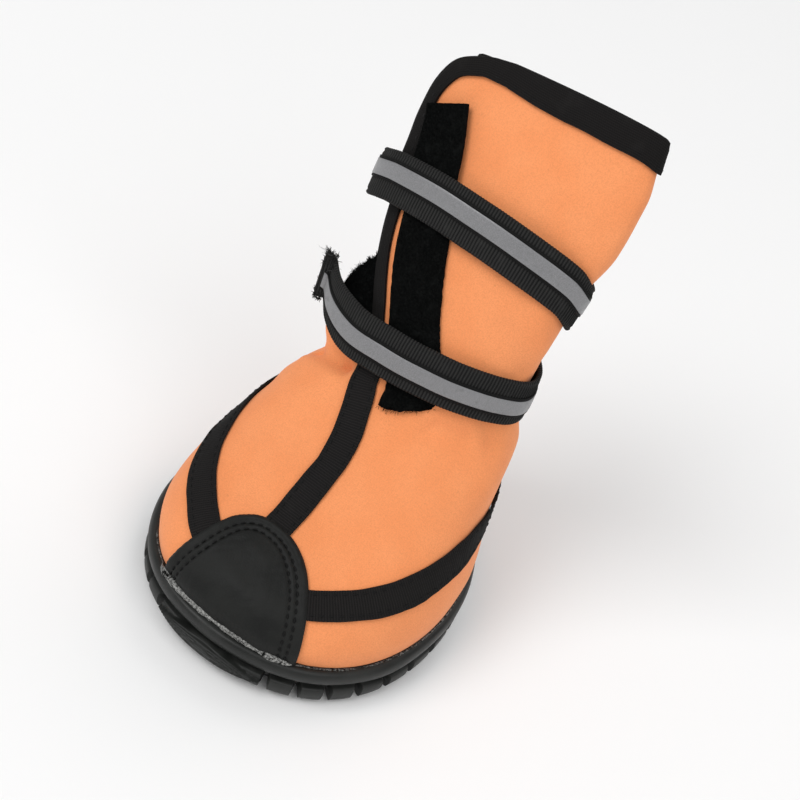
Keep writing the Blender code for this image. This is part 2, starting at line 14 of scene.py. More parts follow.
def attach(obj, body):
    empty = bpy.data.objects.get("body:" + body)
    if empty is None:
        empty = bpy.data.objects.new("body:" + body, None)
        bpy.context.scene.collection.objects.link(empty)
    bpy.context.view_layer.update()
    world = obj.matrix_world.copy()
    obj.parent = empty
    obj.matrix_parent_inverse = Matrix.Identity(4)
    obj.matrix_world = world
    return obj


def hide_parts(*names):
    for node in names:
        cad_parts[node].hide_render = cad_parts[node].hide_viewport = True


bl_info = {
    "name": "Dog boot",
    "version": (1, 0, 0),
    "blender": (4, 5, 0),
    "location": "3D View > Sidebar > Boot",
    "description": "Builds a dog boot with its cloth, rubber and webbing around a packed frame",
    "category": "Object",
}

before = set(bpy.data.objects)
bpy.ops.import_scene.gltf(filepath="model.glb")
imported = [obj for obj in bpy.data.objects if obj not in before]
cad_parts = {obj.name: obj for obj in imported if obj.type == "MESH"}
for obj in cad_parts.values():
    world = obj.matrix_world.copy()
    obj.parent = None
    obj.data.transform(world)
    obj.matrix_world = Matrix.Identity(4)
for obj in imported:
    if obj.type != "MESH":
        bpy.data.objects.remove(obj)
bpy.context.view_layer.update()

MM = 0.001
BODY = "root"
SOLE_LENGTH = 94.0
SOLE_WIDTH = 76.0
EGG = 0.10
FULLNESS = 0.95
RIM_TOP = 10.6
CUP_FLOOR = 5.0
TOE_SPRING = 2.6
TOE_SPRING_START = -23.0
HEEL_SPRING = 1.2
HEEL_SPRING_START = 30.0
WALL = 2.0
GAP = 0.35
THROAT = 8.0
LAP_ROWS = 0.75
LAP_DEPTH = 3.55
COLLAR_TILT = 0.12
OVERHANG = 1.7
WAVE_HEIGHT = 0.18
DIMPLE_HEIGHT = 0.05
TOP = 15.0

# Sections of the upper: reach at the front, the back, the right, the left and the flap, egg shape and toe spring
SECTIONS = np.array((
    (-42.6, 5.5, 42.6, 5.5, 33.6, 33.6, 33.6, 1.0, 1.0),
    (-43.3, 11.0, 43.5, 11.0, 34.3, 34.3, 34.3, 1.0, 1.0),
    (-43.2, 15.5, 44.4, 18.0, 34.8, 34.8, 34.8, 1.0, 0.8),
    (-39.5, 21.5, 44.6, 26.5, 33.9, 33.9, 33.9, 0.9, 0.4),
    (-32.5, 25.2, 44.0, 34.0, 32.0, 32.0, 32.0, 0.7, 0.0),
    (-24.0, 28.2, 42.8, 41.0, 29.8, 29.8, 29.8, 0.5, 0.0),
    (-13.5, 34.0, 41.4, 47.0, 27.6, 27.6, 27.6, 0.3, 0.0),
    (-3.0, 42.4, 39.8, 52.5, 25.8, 25.6, 25.6, 0.0, 0.0),
    (5.0, 52.5, 38.4, 57.5, 24.4, 23.6, 23.6, 0.0, 0.0),
    (9.0, 61.0, 37.8, 63.0, 23.8, 21.6, 24.0, 0.0, 0.0),
    (12.8, 72.0, 38.2, 71.5, 24.0, 20.2, 25.2, 0.0, 0.0),
    (17.6, 85.0, 39.4, 83.0, 24.6, 20.4, 26.4, 0.0, 0.0),
    (23.0, 98.5, 41.0, 95.0, 25.6, 21.2, 27.0, 0.0, 0.0),
    (28.6, 112.3, 43.2, 106.5, 25.8, 21.8, 27.6, 0.0, 0.0),
    (33.0, 122.6, 44.8, 115.3, 25.2, 22.0, 27.8, 0.0, 0.0),
    (35.4, 127.6, 45.6, 119.5, 24.9, 22.0, 27.8, 0.0, 0.0),
))
# Row, sideways place of the flap's free edge and of the hidden edge under it
EDGES = np.array((
    (8.0, -5.6, -5.6),
    (8.5, -6.8, -8.2),
    (9.0, -9.8, -8.6),
    (9.5, -13.0, -7.7),
    (10.0, -16.1, -7.0),
    (10.5, -19.3, -6.4),
    (11.0, -22.0, -6.0),
    (12.0, -25.2, -6.0),
    (13.0, -26.7, -6.0),
    (13.6, -26.3, -6.0),
    (14.1, -24.7, -6.0),
    (14.5, -22.2, -6.0),
    (14.8, -18.8, -6.0),
    (14.95, -15.2, -6.0),
    (15.0, -11.8, -6.0),
))
SEAM = np.array(((1.0, 0.8), (5.0, -1.8), (6.5, -2.6), (8.0, -5.6)))
# Degrees from the front and row of the side tapes' middle
SIDE_TAPES = {
    "right": np.array((
        (20.0, 3.36), (35.0, 3.56), (50.0, 3.66), (70.0, 3.78), (95.0, 3.93), (130.0, 4.05), (174.0, 4.15),
    )),
    "left": np.array((
        (20.0, 3.38), (35.0, 3.62), (50.0, 3.70), (70.0, 3.80), (95.0, 3.93), (130.0, 4.05), (174.0, 4.15),
    )),
}
TAPE_WIDTH = 6.8
# Row and sideways shift in mm of the front ribbon from the seam
FRONT_SHIFT = np.array((
    (4.8, -0.5), (5.4, 0.0), (6.2, 0.5), (7.0, 0.7), (7.6, -0.4), (8.1, -1.7), (8.5, -2.2),
))
# Row, sideways place of the loop strip's middle and reach of its left half
LOOP_STRIP = np.array((
    (7.9, 5.4, 6.3), (8.5, 4.4, 6.5), (9.2, 1.8, 6.8), (10.0, -3.5, 6.9), (11.0, -9.5, 7.4), (12.0, -15.0, 6.4),
    (12.6, -18.2, 5.0), (13.1, -21.0, 3.8),
))
STRIP_HALF = 6.15
# Degrees from the front, row and distance from the cloth along each strap's route
STRAPS = {
    "upper": np.array((
        (184.0, 11.2, 1.8), (150.0, 11.1, 1.0), (95.0, 11.1, 0.7), (60.0, 11.5, 1.0), (20.0, 11.75, 1.8),
        (-20.0, 11.85, 2.2), (-55.0, 11.75, 3.0), (-80.0, 11.55, 4.2), (-100.0, 11.35, 3.6), (-135.0, 11.2, 1.8),
    )),
    "lower": np.array((
        (184.0, 8.6, 2.3), (150.0, 8.65, 1.4), (95.0, 8.8, 1.0), (60.0, 9.1, 1.1), (20.0, 9.2, 2.0),
        (-10.0, 9.12, 2.6), (-35.0, 8.98, 3.4), (-60.0, 9.05, 4.5), (-70.0, 9.22, 5.4), (-72.5, 9.28, 6.1),
        (-75.2, 9.30, 8.5),
    )),
}
# Degrees and share of its width that the lower strap shows where it cups towards its turned-up end
STRAP_SPREAD = np.array((
    (-75.2, 0.96), (-73.5, 0.92), (-71.5, 0.78), (-68.0, 0.78), (-60.0, 0.87), (-45.0, 0.98), (-38.0, 1.0),
))
# Creases laid one by one: degrees and row of one end, of the other end, half width in mm, depth in mm (out is positive)
CREASES = (
    (-88.0, 6.90, -33.0, 8.02, 2.3, -1.5),
    (-80.0, 5.9, -46.0, 6.7, 4.2, 1.0),
    (-104.0, 6.25, -84.0, 6.85, 3.6, -1.5),
    (-86.0, 7.35, -72.0, 7.75, 3.2, 1.5),
    (-74.0, 7.02, -34.0, 7.86, 1.2, -2.0),
    (-72.0, 6.72, -38.0, 7.50, 2.4, 1.1),
    (-86.0, 7.6, -62.0, 7.85, 3.0, 0.8),
    (88.0, 6.3, 112.0, 6.5, 8.0, 2.6),
    (52.0, 7.8, 30.0, 7.9, 2.6, -1.1),
    (74.0, 7.6, 62.0, 8.3, 2.4, -0.9),
    (30.0, 8.0, 14.0, 6.9, 2.6, -0.35),
    (70.0, 9.7, 38.0, 10.5, 2.2, -0.7),
    (80.0, 10.2, 54.0, 11.0, 2.6, 0.5),
    (76.0, 9.5, 66.0, 9.3, 1.8, 0.6),
    (95.0, 12.2, 95.0, 13.2, 8.0, 1.7),
    (-84.0, 12.0, -76.0, 14.3, 7.0, 1.2),
    (48.0, 4.9, 22.0, 6.0, 5.0, 0.35),
    (-50.0, 4.9, -20.0, 5.8, 5.0, 0.30),
    (120.0, 7.0, 165.0, 6.4, 3.0, -0.6),
    (-120.0, 7.1, -165.0, 6.5, 3.0, -0.6),
    (110.0, 8.0, 160.0, 8.1, 2.6, 0.5),
    (-105.0, 9.8, -160.0, 10.2, 3.0, -0.45),
    (105.0, 10.0, 150.0, 9.6, 2.8, -0.45),
)


def unit(v):
    return v / np.linalg.norm(v, axis=-1, keepdims=True)


def soft(value, low, high):
    f = np.clip((value - low) / (high - low), 0, 1)
    return f * f * (3 - 2 * f)


def read(table, at, places=None):
    """Reads a table's rows at places between them, on a cubic through the rows."""
    at = np.asarray(at, float)
    if places is None:
        places = table[:, 0]
    last = len(places) - 1
    i = np.clip(np.searchsorted(places, at, side="right") - 1, 0, last - 1)
    low, high = np.maximum(i - 1, 0), np.minimum(i + 2, last)
    span = (places[i + 1] - places[i])[..., None]
    f = (at - places[i])[..., None] / span
    slope_a = (table[i + 1] - table[low]) / (places[i + 1] - places[low])[..., None] * span
    slope_b = (table[high] - table[i]) / (places[high] - places[i])[..., None] * span
    return (
        (2 * f**3 - 3 * f**2 + 1) * table[i]
        + (f**3 - 2 * f**2 + f) * slope_a
        + (3 * f**2 - 2 * f**3) * table[i + 1]
        + (f**3 - f**2) * slope_b
    )


def section(row):
    return read(SECTIONS, row, np.arange(len(SECTIONS), dtype=float))


def egg_shape(angle, egg):
    s = np.sin(angle)
    return np.copysign(np.abs(s) ** FULLNESS, s) * (1 + egg * np.cos(angle)) / (1 + 0.5 * egg * egg)


def spring(y):
    toe = np.maximum(0.0, TOE_SPRING_START - y) / (SOLE_LENGTH / 2 + TOE_SPRING_START)
    heel = np.maximum(0.0, y - HEEL_SPRING_START) / (SOLE_LENGTH / 2 - HEEL_SPRING_START)
    return TOE_SPRING * toe**2 + HEEL_SPRING * heel**2


def outline(angle, inset, height):
    x = (SOLE_WIDTH / 2 - inset) * egg_shape(angle, EGG)
    y = -(SOLE_LENGTH / 2 - inset) * np.cos(angle)
    return np.stack((x, y, height + spring(y)), -1)


def ring(angle, row, sunk, inset=0.0):
    angle, row = np.broadcast_arrays(np.asarray(angle, float), np.asarray(row, float))
    y_f, z_f, y_b, z_b, right, left, flap, egg, lift = np.moveaxis(section(row), -1, 0)
    hidden = angle > math.pi
    side = np.where(np.sin(angle) >= 0, right, np.where(hidden, left, flap))
    depth = np.cos(angle)
    half_y, half_z = 0.5 * (y_b - y_f), 0.5 * (z_b - z_f)
    length = np.hypot(half_y, half_z)
    scale = (length - inset - np.where(hidden & (depth > 0), sunk, 0.0)) / length
    x = (side - inset) * egg_shape(angle, EGG * egg)
    y = 0.5 * (y_f + y_b) - half_y * scale * depth
    z = 0.5 * (z_f + z_b) - half_z * scale * depth
    tilt = COLLAR_TILT * np.clip((row - THROAT) / (TOP - THROAT), 0.0, 1.0)
    return np.stack((x, y, z + spring(y) * lift + tilt * x), -1)


def lap(row):
    return LAP_DEPTH * np.clip((np.asarray(row, float) - THROAT) / LAP_ROWS, 0.0, 1.0)


def lapped_face(angle, row, inset=0.0):
    return ring(angle, row, lap(row), inset)


def round_face(angle, row):
    return ring(angle, row, 0.0)


def tangents(place, angle, row):
    step = 1e-3
    row = np.clip(row, step, TOP - step)
    along_angle = (place(angle + step, row) - place(angle - step, row)) / (2 * step)
    along_row = (place(angle, row + step) - place(angle, row - step)) / (2 * step)
    return along_angle, along_row


def normal_at(place, angle, row):
    return unit(np.cross(*tangents(place, angle, row)))


def edge_angle(x, row, column):
    reach = section(row)[..., {"flap": 6, "left": 5, "right": 4}[column]]
    part = np.clip(-x / reach, -1.0, 1.0)
    return -np.sign(part) * np.arcsin(np.abs(part) ** (1 / FULLNESS))


def seam_angle(row):
    return edge_angle(np.interp(row, SEAM[:, 0], SEAM[:, 1]), row, "flap")


def edge_angles(row):
    """Angles of the flap's free edge and of the hidden edge at a row, the second one turn further on."""
    if row <= THROAT:
        return float(seam_angle(row)), float(seam_angle(row)) + 2 * math.pi
    _, flap_x, hidden_x = read(EDGES, row)
    return float(edge_angle(flap_x, row, "flap")), float(edge_angle(hidden_x, row, "left")) + 2 * math.pi


def crease_ends():
    ends = []
    for turn_a, row_a, turn_b, row_b, width, depth in CREASES:
        a, b = (math.radians(turn_a), row_a), (math.radians(turn_b), row_b)
        n = unit(normal_at(round_face, *a) + normal_at(round_face, *b))
        ends.append((round_face(*a), round_face(*b), n, width, depth))
    return ends


CREASE_ENDS = crease_ends()


def ripple(p, size, seed, count=7):
    """A smooth field from about -1 to 1 over points in mm, with features of the given size."""
    rng = np.random.default_rng(seed)
    total = np.zeros(p.shape[:-1])
    for _ in range(count):
        heading = unit(rng.normal(size=3)) * (2 * math.pi / size) * rng.uniform(0.6, 1.5)
        total += np.sin(p @ heading + rng.uniform(0, 2 * math.pi))
    return total / math.sqrt(count)


def crease(p, n):
    """How far the cloth lies out of its smooth form at points with these normals."""
    total = WAVE_HEIGHT * ripple(p, 26.0, 5) + DIMPLE_HEIGHT * ripple(p, 9.0, 6)
    for a, b, facing, width, depth in CREASE_ENDS:
        run = b - a
        along = (p - a) @ run / (run @ run)
        near = a + np.clip(along, 0, 1)[..., None] * run
        gap = np.linalg.norm(p - near, axis=-1) / width
        fade = np.clip(n @ facing + 0.3, 0, 1)
        total += depth * np.exp(-gap**2) * fade
    low = np.clip((p[..., 2] - 13.0) / 6.0, 0, 1)
    return total * low + overhang(p)


def overhang(p):
    """How far the cloth swells out over the sole's rim, beside the toe cap's middle."""
    turn = np.degrees(np.arctan2(np.abs(p[..., 0]), -p[..., 1]))
    height = p[..., 2] - spring(p[..., 1])
    return OVERHANG * soft(turn, 4.0, 30.0) * soft(height, 9.7, 11.2) * (1 - soft(height, 14.0, 28.0))


def skin(angle, row, lift=0.0, place=lapped_face):
    """The creased outer face of the cloth, or points that stand off it."""
    p = place(angle, row)
    n = normal_at(place, angle, row)
    return p + n * (crease(p, n) + lift)[..., None]


def inner_skin(angle, row, lift=0.0):
    p = lapped_face(angle, row)
    n = normal_at(lapped_face, angle, row)
    move = crease(p, n)
    by_normal = p - n * np.broadcast_to(WALL + lift, move.shape)[..., None]
    by_section = lapped_face(angle, row, WALL + lift)
    part = np.clip((row - 7.0) / 1.5, 0.0, 1.0)[..., None]
    return by_normal * (1 - part) + by_section * part + n * move[..., None]


def walk(place, angle, row, heading, distance):
    """Follows a face along headings for distances in millimetres."""
    steps = 6
    shape = np.broadcast_shapes(np.shape(angle), np.shape(row), np.shape(distance))
    angle = np.broadcast_to(angle, shape).astype(float)
    row = np.broadcast_to(row, shape).astype(float)
    for _ in range(steps):
        u, v = tangents(place, angle, row)
        n = unit(np.cross(u, v))
        flat = unit(heading - np.sum(heading * n, -1, keepdims=True) * n)
        uu, uv, vv = np.sum(u * u, -1), np.sum(u * v, -1), np.sum(v * v, -1)
        hu, hv = np.sum(u * flat, -1), np.sum(v * flat, -1)
        det = uu * vv - uv * uv
        angle = angle + (hu * vv - hv * uv) / det * distance / steps
        row = row + (hv * uu - hu * uv) / det * distance / steps
    return angle, row


# Mesh building

# Directions of the three corners of a thin fibre's section
THIRDS = (0.0, 2.094, 4.189)
STITCH_SIDES = 6
# Along a stitch: thickness as a share of its radius, and how deep it lies in the cloth
STITCH_SHAPE = ((0.45, 0.9), (1.0, 0.0), (1.0, 0.0), (0.45, 0.9))


def object_from(name, points, faces, finishes, uv=None, slots=None, smooth=45):
    """Makes a piece from points in mm. uv holds a pair in mm per point and slots a material index per face."""
    mesh = bpy.data.meshes.new(name)
    mesh.from_pydata((np.asarray(points) * MM).tolist(), [], faces)
    if uv is not None:
        layer = mesh.uv_layers.new(name="weave")
        loops = np.empty(len(mesh.loops), int)
        mesh.loops.foreach_get("vertex_index", loops)
        layer.data.foreach_set("uv", np.asarray(uv, float)[loops].ravel())
    for made in finishes:
        mesh.materials.append(made)
    if slots is not None:
        mesh.polygons.foreach_set("material_index", slots)
    mesh.shade_smooth()
    mesh.set_sharp_from_angle(angle=math.radians(smooth))
    obj = bpy.data.objects.new(name, mesh)
    bpy.context.scene.collection.objects.link(obj)
    return obj


def turned_out(obj, merge=False):
    """Turns a closed mesh's faces outwards, with its touching points merged first where that is asked for."""
    work = bmesh.new()
    work.from_mesh(obj.data)
    if merge:
        bmesh.ops.remove_doubles(work, verts=work.verts, dist=1e-7)
    if work.calc_volume(signed=True) < 0:
        bmesh.ops.reverse_faces(work, faces=work.faces)
    work.to_mesh(obj.data)
    work.free()
    return obj


def quads(index, closed=False):
    """Faces of a grid of point numbers. A closed grid's last column joins its first."""
    if closed:
        index = np.concatenate((index, index[:, :1]), 1)
    return np.stack((index[:-1, :-1], index[:-1, 1:], index[1:, 1:], index[1:, :-1]), -1).reshape(-1, 4)


def loft(name, grid, finishes, uv=None, smooth=45):
    """A capped tube through closed sections: grid holds sections, points and xyz, in mm."""
    index = np.arange(grid.shape[0] * grid.shape[1]).reshape(grid.shape[:2])
    faces = quads(index, True).tolist() + [index[0][::-1].tolist(), index[-1].tolist()]
    uv = None if uv is None else uv.reshape(-1, 2)
    return turned_out(object_from(name, grid.reshape(-1, 3), faces, finishes, uv, None, smooth))


def shell(name, outer, inner, finishes, uv=None, smooth=50, joined=0):
    """A sheet with a front, a back and a rim. The ends of its first joined rows meet and need no rim."""
    count, size = outer.shape[:2]
    half = count * size
    index = np.arange(half).reshape(count, size)
    front = quads(index)
    border = np.concatenate((index[0, :-1], index[:-1, -1], index[-1, :0:-1], index[:0:-1, 0]))
    after = np.roll(border, -1)
    rim = np.stack((border + half, after + half, after, border), -1)
    rim = rim[(border // size == after // size) | (np.maximum(border, after) // size >= joined)]
    faces = np.concatenate((front, front[:, ::-1] + half, rim)).tolist()
    slots = [0] * len(front) + [len(finishes) - 1] * len(front) + [0] * len(rim)
    points = np.concatenate((outer.reshape(-1, 3), inner.reshape(-1, 3)))
    uv = None if uv is None else np.tile(uv.reshape(-1, 2), (2, 1))
    return turned_out(object_from(name, points, faces, finishes, uv, slots, smooth), joined > 0)


def tubes(name, rings, kind):
    """Many small closed tubes: rings holds tubes, sections, points round a section and xyz, in mm."""
    rings = np.array(rings)
    index = np.arange(rings.size // 3).reshape(rings.shape[:3])
    faces = [face for part in index for face in quads(part, True).tolist()]
    faces += index[:, 0, ::-1].tolist() + index[:, -1].tolist()
    return object_from(name, rings.reshape(-1, 3), faces, [finish(kind)])


def ride(obj, slot, *nodes):
    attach(obj, BODY)
    if nodes:
        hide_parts(*nodes)
    return obj


def flat_profile(width, thickness, under=5, over=9, edge=0.35):
    """Across and height of a flat tape's section: its under side, a round edge, its top and the other edge."""
    half = width / 2
    radius = min(edge, thickness / 2)
    turns = np.linspace(-math.pi / 2, math.pi / 2, 5)[1:-1]
    flat = half - radius
    edge_height = thickness / 2 + thickness / 2 * np.sin(turns)
    across = (np.linspace(-flat, flat, under), flat + radius * np.cos(turns))
    across += (np.linspace(flat, -flat, over), -flat - radius * np.cos(turns[::-1]))
    height = (np.zeros(under), edge_height, np.full(over, thickness), edge_height[::-1])
    return np.concatenate(across), np.concatenate(height)


def run_length(points, axis=0):
    """Distance along an axis of an array of points, from the first one."""
    steps = np.linalg.norm(np.diff(points, axis=axis), axis=-1)
    return np.insert(np.cumsum(steps, axis), 0, 0.0, axis)


def pairs(across, run):
    """Surface coordinates from places across a band's sections and along its run."""
    return np.stack(np.broadcast_arrays(across, run[:, None]), -1)


def even_path(path, place, step):
    """Resamples a path of angles and rows at an even spacing in mm."""
    length = run_length(place(*path.T))
    at = np.linspace(0, length[-1], max(4, int(length[-1] / step) + 1))
    return np.stack((np.interp(at, length, path[:, 0]), np.interp(at, length, path[:, 1])), 1), at


def lay_band(path, across, height, place):
    """Points of a tape's sections on the creased skin along a path: across and height in mm."""
    side = np.cross(unit(np.gradient(place(*path.T), axis=0)), normal_at(place, *path.T))
    shape = np.broadcast_shapes((len(path), 1), np.shape(across))
    across = np.broadcast_to(across, shape)
    heading = np.broadcast_to(side[:, None, :], shape + (3,))
    angle, row = walk(place, path[:, :1], path[:, 1:], heading, across)
    return skin(angle, row, np.broadcast_to(height, shape), place)


def stitches(name, lines, slot, pitch, length, radius):
    """Short threads along lines of points and normals."""
    turns = np.linspace(0, 2 * math.pi, STITCH_SIDES, endpoint=False)[:, None]
    rings = []
    for line, normals in lines:
        run = run_length(line)
        for at in np.arange(0.5 * pitch, run[-1], pitch):
            spots = np.linspace(at - length / 2, at + length / 2, len(STITCH_SHAPE))
            ends = np.stack([np.interp(spots, run, line[:, k]) for k in range(3)], 1)
            n = unit(np.array([np.interp(at, run, normals[:, k]) for k in range(3)]))
            b = np.cross(unit(ends[-1] - ends[0]), n)
            spread = n * np.sin(turns) + b * np.cos(turns)
            rings.append([end + radius * (size * spread - drop * n) for end, (size, drop) in zip(ends, STITCH_SHAPE)])
    ride(tubes(name, rings, "thread"), slot)


def strands(name, roots, headings, kind, slot, length, radius, seed, bend=0.6, parts=4):
    """Loose thin fibres that leave their roots along headings and curl at random."""
    rng = np.random.default_rng(seed)
    rings = []
    for p, t in zip(roots, headings):
        reach = length * rng.uniform(0.35, 1.0)
        curl = rng.normal(size=3) * bend
        sideways = unit(np.cross(t, rng.normal(size=3)))
        other = np.cross(t, sideways)
        for k in range(parts + 1):
            thick = radius * (1.0 - 0.6 * k / parts)
            rings.append([p + thick * (math.cos(turn) * sideways + math.sin(turn) * other) for turn in THIRDS])
            t = unit(t + curl / parts + rng.normal(size=3) * 0.12)
            p = p + t * reach / parts
    ride(tubes(name, np.reshape(rings, (-1, parts + 1, 3, 3)), kind), slot)


def pile_hairs(name, grid, count, seed, length=0.8, side=1.0):
    """Short fine hairs at random over the patch spanned by a grid of points."""
    rng = np.random.default_rng(seed)
    i = rng.integers(0, grid.shape[0] - 1, count)
    j = rng.integers(0, grid.shape[1] - 1, count)
    s, t = rng.uniform(size=(2, count, 1))
    a, b, c, d = grid[i, j], grid[i, j + 1], grid[i + 1, j], grid[i + 1, j + 1]
    p = (a * (1 - t) + b * t) * (1 - s) + (c * (1 - t) + d * t) * s
    n = unit(np.cross(c - a, b - a))
    rng = np.random.default_rng(seed)
    heading = unit(n * side + rng.normal(size=p.shape) * 0.7)
    reach = length * rng.uniform(0.4, 1.0, (count, 1))
    sideways = unit(np.cross(heading, rng.normal(size=p.shape)))
    other = np.cross(heading, sideways)
    base = p - heading * 0.1
    corners = [base + HAIR_RADIUS * (math.cos(turn) * sideways + math.sin(turn) * other) for turn in THIRDS]
    points = np.stack((*corners, p + heading * reach), 1).reshape(-1, 3)
    corner_sets = np.array(((0, 1, 3), (1, 2, 3), (2, 0, 3), (2, 1, 0)))
    faces = (np.arange(count)[None, :, None] * 4 + corner_sets[:, None]).reshape(-1, 3).tolist()
    ride(object_from(name, points, faces, [finish("pile")]), "pile")


# Materials


class Value:
    """A shader socket that takes part in Python arithmetic by adding Math nodes."""

    def __init__(self, tree, socket):
        self.tree = tree
        self.socket = socket

    def math(self, operation, *others):
        node = self.tree.nodes.new("ShaderNodeMath")
        node.operation = operation
        for place, term in zip(node.inputs, (self, *others)):
            connect(self.tree, term, place)
        return Value(self.tree, node.outputs[0])

    def __add__(self, other):
        return self.math("ADD", other)

    def __mul__(self, other):
        return self.math("MULTIPLY", other)

    def step(self, low, high, start=0.0, end=1.0):
        """A smooth step from start to end as the value goes from low to high."""
        node = self.tree.nodes.new("ShaderNodeMapRange")
        node.interpolation_type = "SMOOTHSTEP"
        names = ("Value", "From Min", "From Max", "To Min", "To Max")
        for name, term in zip(names, (self, low, high, start, end)):
            connect(self.tree, term, node.inputs[name])
        return Value(self.tree, node.outputs["Result"])


def connect(tree, term, place):
    if isinstance(term, Value):
        tree.links.new(term.socket, place)
    else:
        place.default_value = term


class Finish:
    """A material under construction: a Principled shader and the nodes that feed it."""

    def __init__(self, name, colour, roughness, **constants):
        self.material = bpy.data.materials.new(name)
        self.material.use_nodes = True
        self.tree = self.material.node_tree
        self.shader = self.tree.nodes["Principled BSDF"]
        self.set("Base Color", (*colour, 1.0))
        self.set("Roughness", roughness)
        for key, value in constants.items():
            self.set(key.replace("_", " "), value)

    def set(self, name, value):
        connect(self.tree, value, self.shader.inputs[name])

    def node(self, kind, settings=None, inputs=None, output=0):
        """Adds a node, sets its settings first, then its sockets' values or links."""
        node = self.tree.nodes.new(kind)
        for key, value in (settings or {}).items():
            setattr(node, key, value)
        for key, value in (inputs or {}).items():
            connect(self.tree, value, node.inputs[key])
        return Value(self.tree, node.outputs[output])

    def place(self, scale=(1000.0, 1000.0, 1000.0)):
        """Position in mm, stretched by the scale."""
        coords = self.node("ShaderNodeTexCoord", output="Object")
        return self.node("ShaderNodeVectorMath", {"operation": "MULTIPLY"}, {0: coords, 1: scale})

    def weave(self):
        """The two surface coordinates in mm, across and along the piece."""
        uv = self.node("ShaderNodeUVMap", {"uv_map": "weave"})
        return [self.node("ShaderNodeSeparateXYZ", None, {0: uv}, axis) for axis in ("X", "Y")]

    def noise(self, size, detail=2.0, where=None, roughness=0.5):
        """Noise from 0 to 1 with features of a size in mm."""
        where = where or self.place()
        inputs = {"Vector": where, "Scale": 1.0 / size, "Detail": detail, "Roughness": roughness}
        return self.node("ShaderNodeTexNoise", {"noise_dimensions": "3D"}, inputs, "Fac")

    def mix(self, factor, a, b):
        """Mixes two colours."""
        a, b = [c if isinstance(c, Value) else (*c, 1.0) for c in (a, b)]
        settings = {"data_type": "RGBA", "blend_type": "MIX", "clamp_factor": True}
        return self.node("ShaderNodeMix", settings, {0: factor, 6: a, 7: b}, 2)

    def paint(self, tone, *layers):
        """Sets the base colour: a first tone under layers that each have a mask and a colour."""
        for mask, colour in layers:
            tone = self.mix(mask, tone, colour)
        self.set("Base Color", tone)

    def bump(self, height, distance, strength, normal=None):
        """Bumps the surface by a height from 0 to 1 times a distance in mm."""
        inputs = {"Height": height, "Distance": distance * MM, "Strength": strength}
        if normal is not None:
            inputs["Normal"] = normal
        made = self.node("ShaderNodeBump", None, inputs, "Normal")
        self.set("Normal", made)
        return made


def ribs(coordinate, pitch):
    """A rounded wave from 0 to 1 along a coordinate in mm."""
    return (coordinate * (2 * math.pi / pitch)).math("SINE") * 0.5 + 0.5


def shade(colour, share):
    return tuple(c * share for c in colour)


def softshell(colour):
    made = Finish("softshell", colour, 0.86, Sheen_Weight=0.12, Sheen_Roughness=0.5, Specular_IOR_Level=0.15)
    fine = made.noise(0.34, 3.0, roughness=0.7)
    cloud = made.noise(11.0, 3.0)
    fleck = made.noise(0.8, 2.0)
    made.paint(
        colour,
        (cloud.step(0.3, 0.7) * 0.45, tuple(min(1.0, c * 1.12 + 0.03) for c in colour)),
        (fine.step(0.35, 0.68) * 0.5, shade(colour, 0.78)),
        (fleck.step(0.66, 0.78) * 0.25, shade(colour, 0.6)),
    )
    u, v = made.weave()
    knit = ribs(u, 0.62) * ribs(v, 0.5)
    first = made.bump(fine * 0.7 + knit * 0.3, 0.12, 0.6)
    made.bump(made.noise(3.2, 2.0), 0.25, 0.35, first)
    made.set("Roughness", cloud.step(0.2, 0.8, 0.78, 0.92))
    return made.material


def fleece():
    made = Finish("lining_fleece", (0.03, 0.03, 0.033), 0.95, Sheen_Weight=0.3)
    fuzz = made.noise(0.5, 3.0, roughness=0.7)
    made.paint((0.016, 0.016, 0.018), (fuzz, (0.06, 0.06, 0.064)))
    made.bump(fuzz, 0.35, 0.8)
    return made.material


def rubber():
    made = Finish("sole_rubber", (0.012, 0.013, 0.012), 0.45, Specular_IOR_Level=0.35)
    grain = made.noise(0.5, 2.0, roughness=0.6)
    scuff = made.noise(1.0, 4.0, made.place((600.0, 600.0, 2600.0)))
    cloud = made.noise(7.0, 3.0)
    worn = (scuff.step(0.62, 0.8) * 0.3, (0.06, 0.061, 0.057))
    made.paint((0.008, 0.009, 0.008), (cloud.step(0.3, 0.75), (0.019, 0.020, 0.0185)), worn)
    made.set("Roughness", cloud.step(0.2, 0.8, 0.36, 0.58) + scuff.step(0.55, 0.8) * 0.2)
    made.bump(grain * 0.6 + scuff * 0.4, 0.06, 0.5)
    return made.material


def coated():
    made = Finish("coated_patch", (0.01, 0.011, 0.010), 0.55, Specular_IOR_Level=0.22)
    cells = made.node("ShaderNodeTexVoronoi", {"feature": "F1"}, {"Vector": made.place(), "Scale": 2.6}, "Distance")
    fine = made.noise(0.3, 3.0, roughness=0.6)
    cloud = made.noise(6.0, 4.0)
    specks = (fine.step(0.6, 0.8) * 0.4, (0.026, 0.027, 0.025))
    made.paint((0.006, 0.0065, 0.006), (cloud.step(0.3, 0.72), (0.012, 0.0125, 0.0115)), specks)
    made.set("Roughness", cloud.step(0.2, 0.8, 0.52, 0.72))
    made.bump(cells * 0.6 + fine * 0.4, 0.09, 0.6)
    return made.material


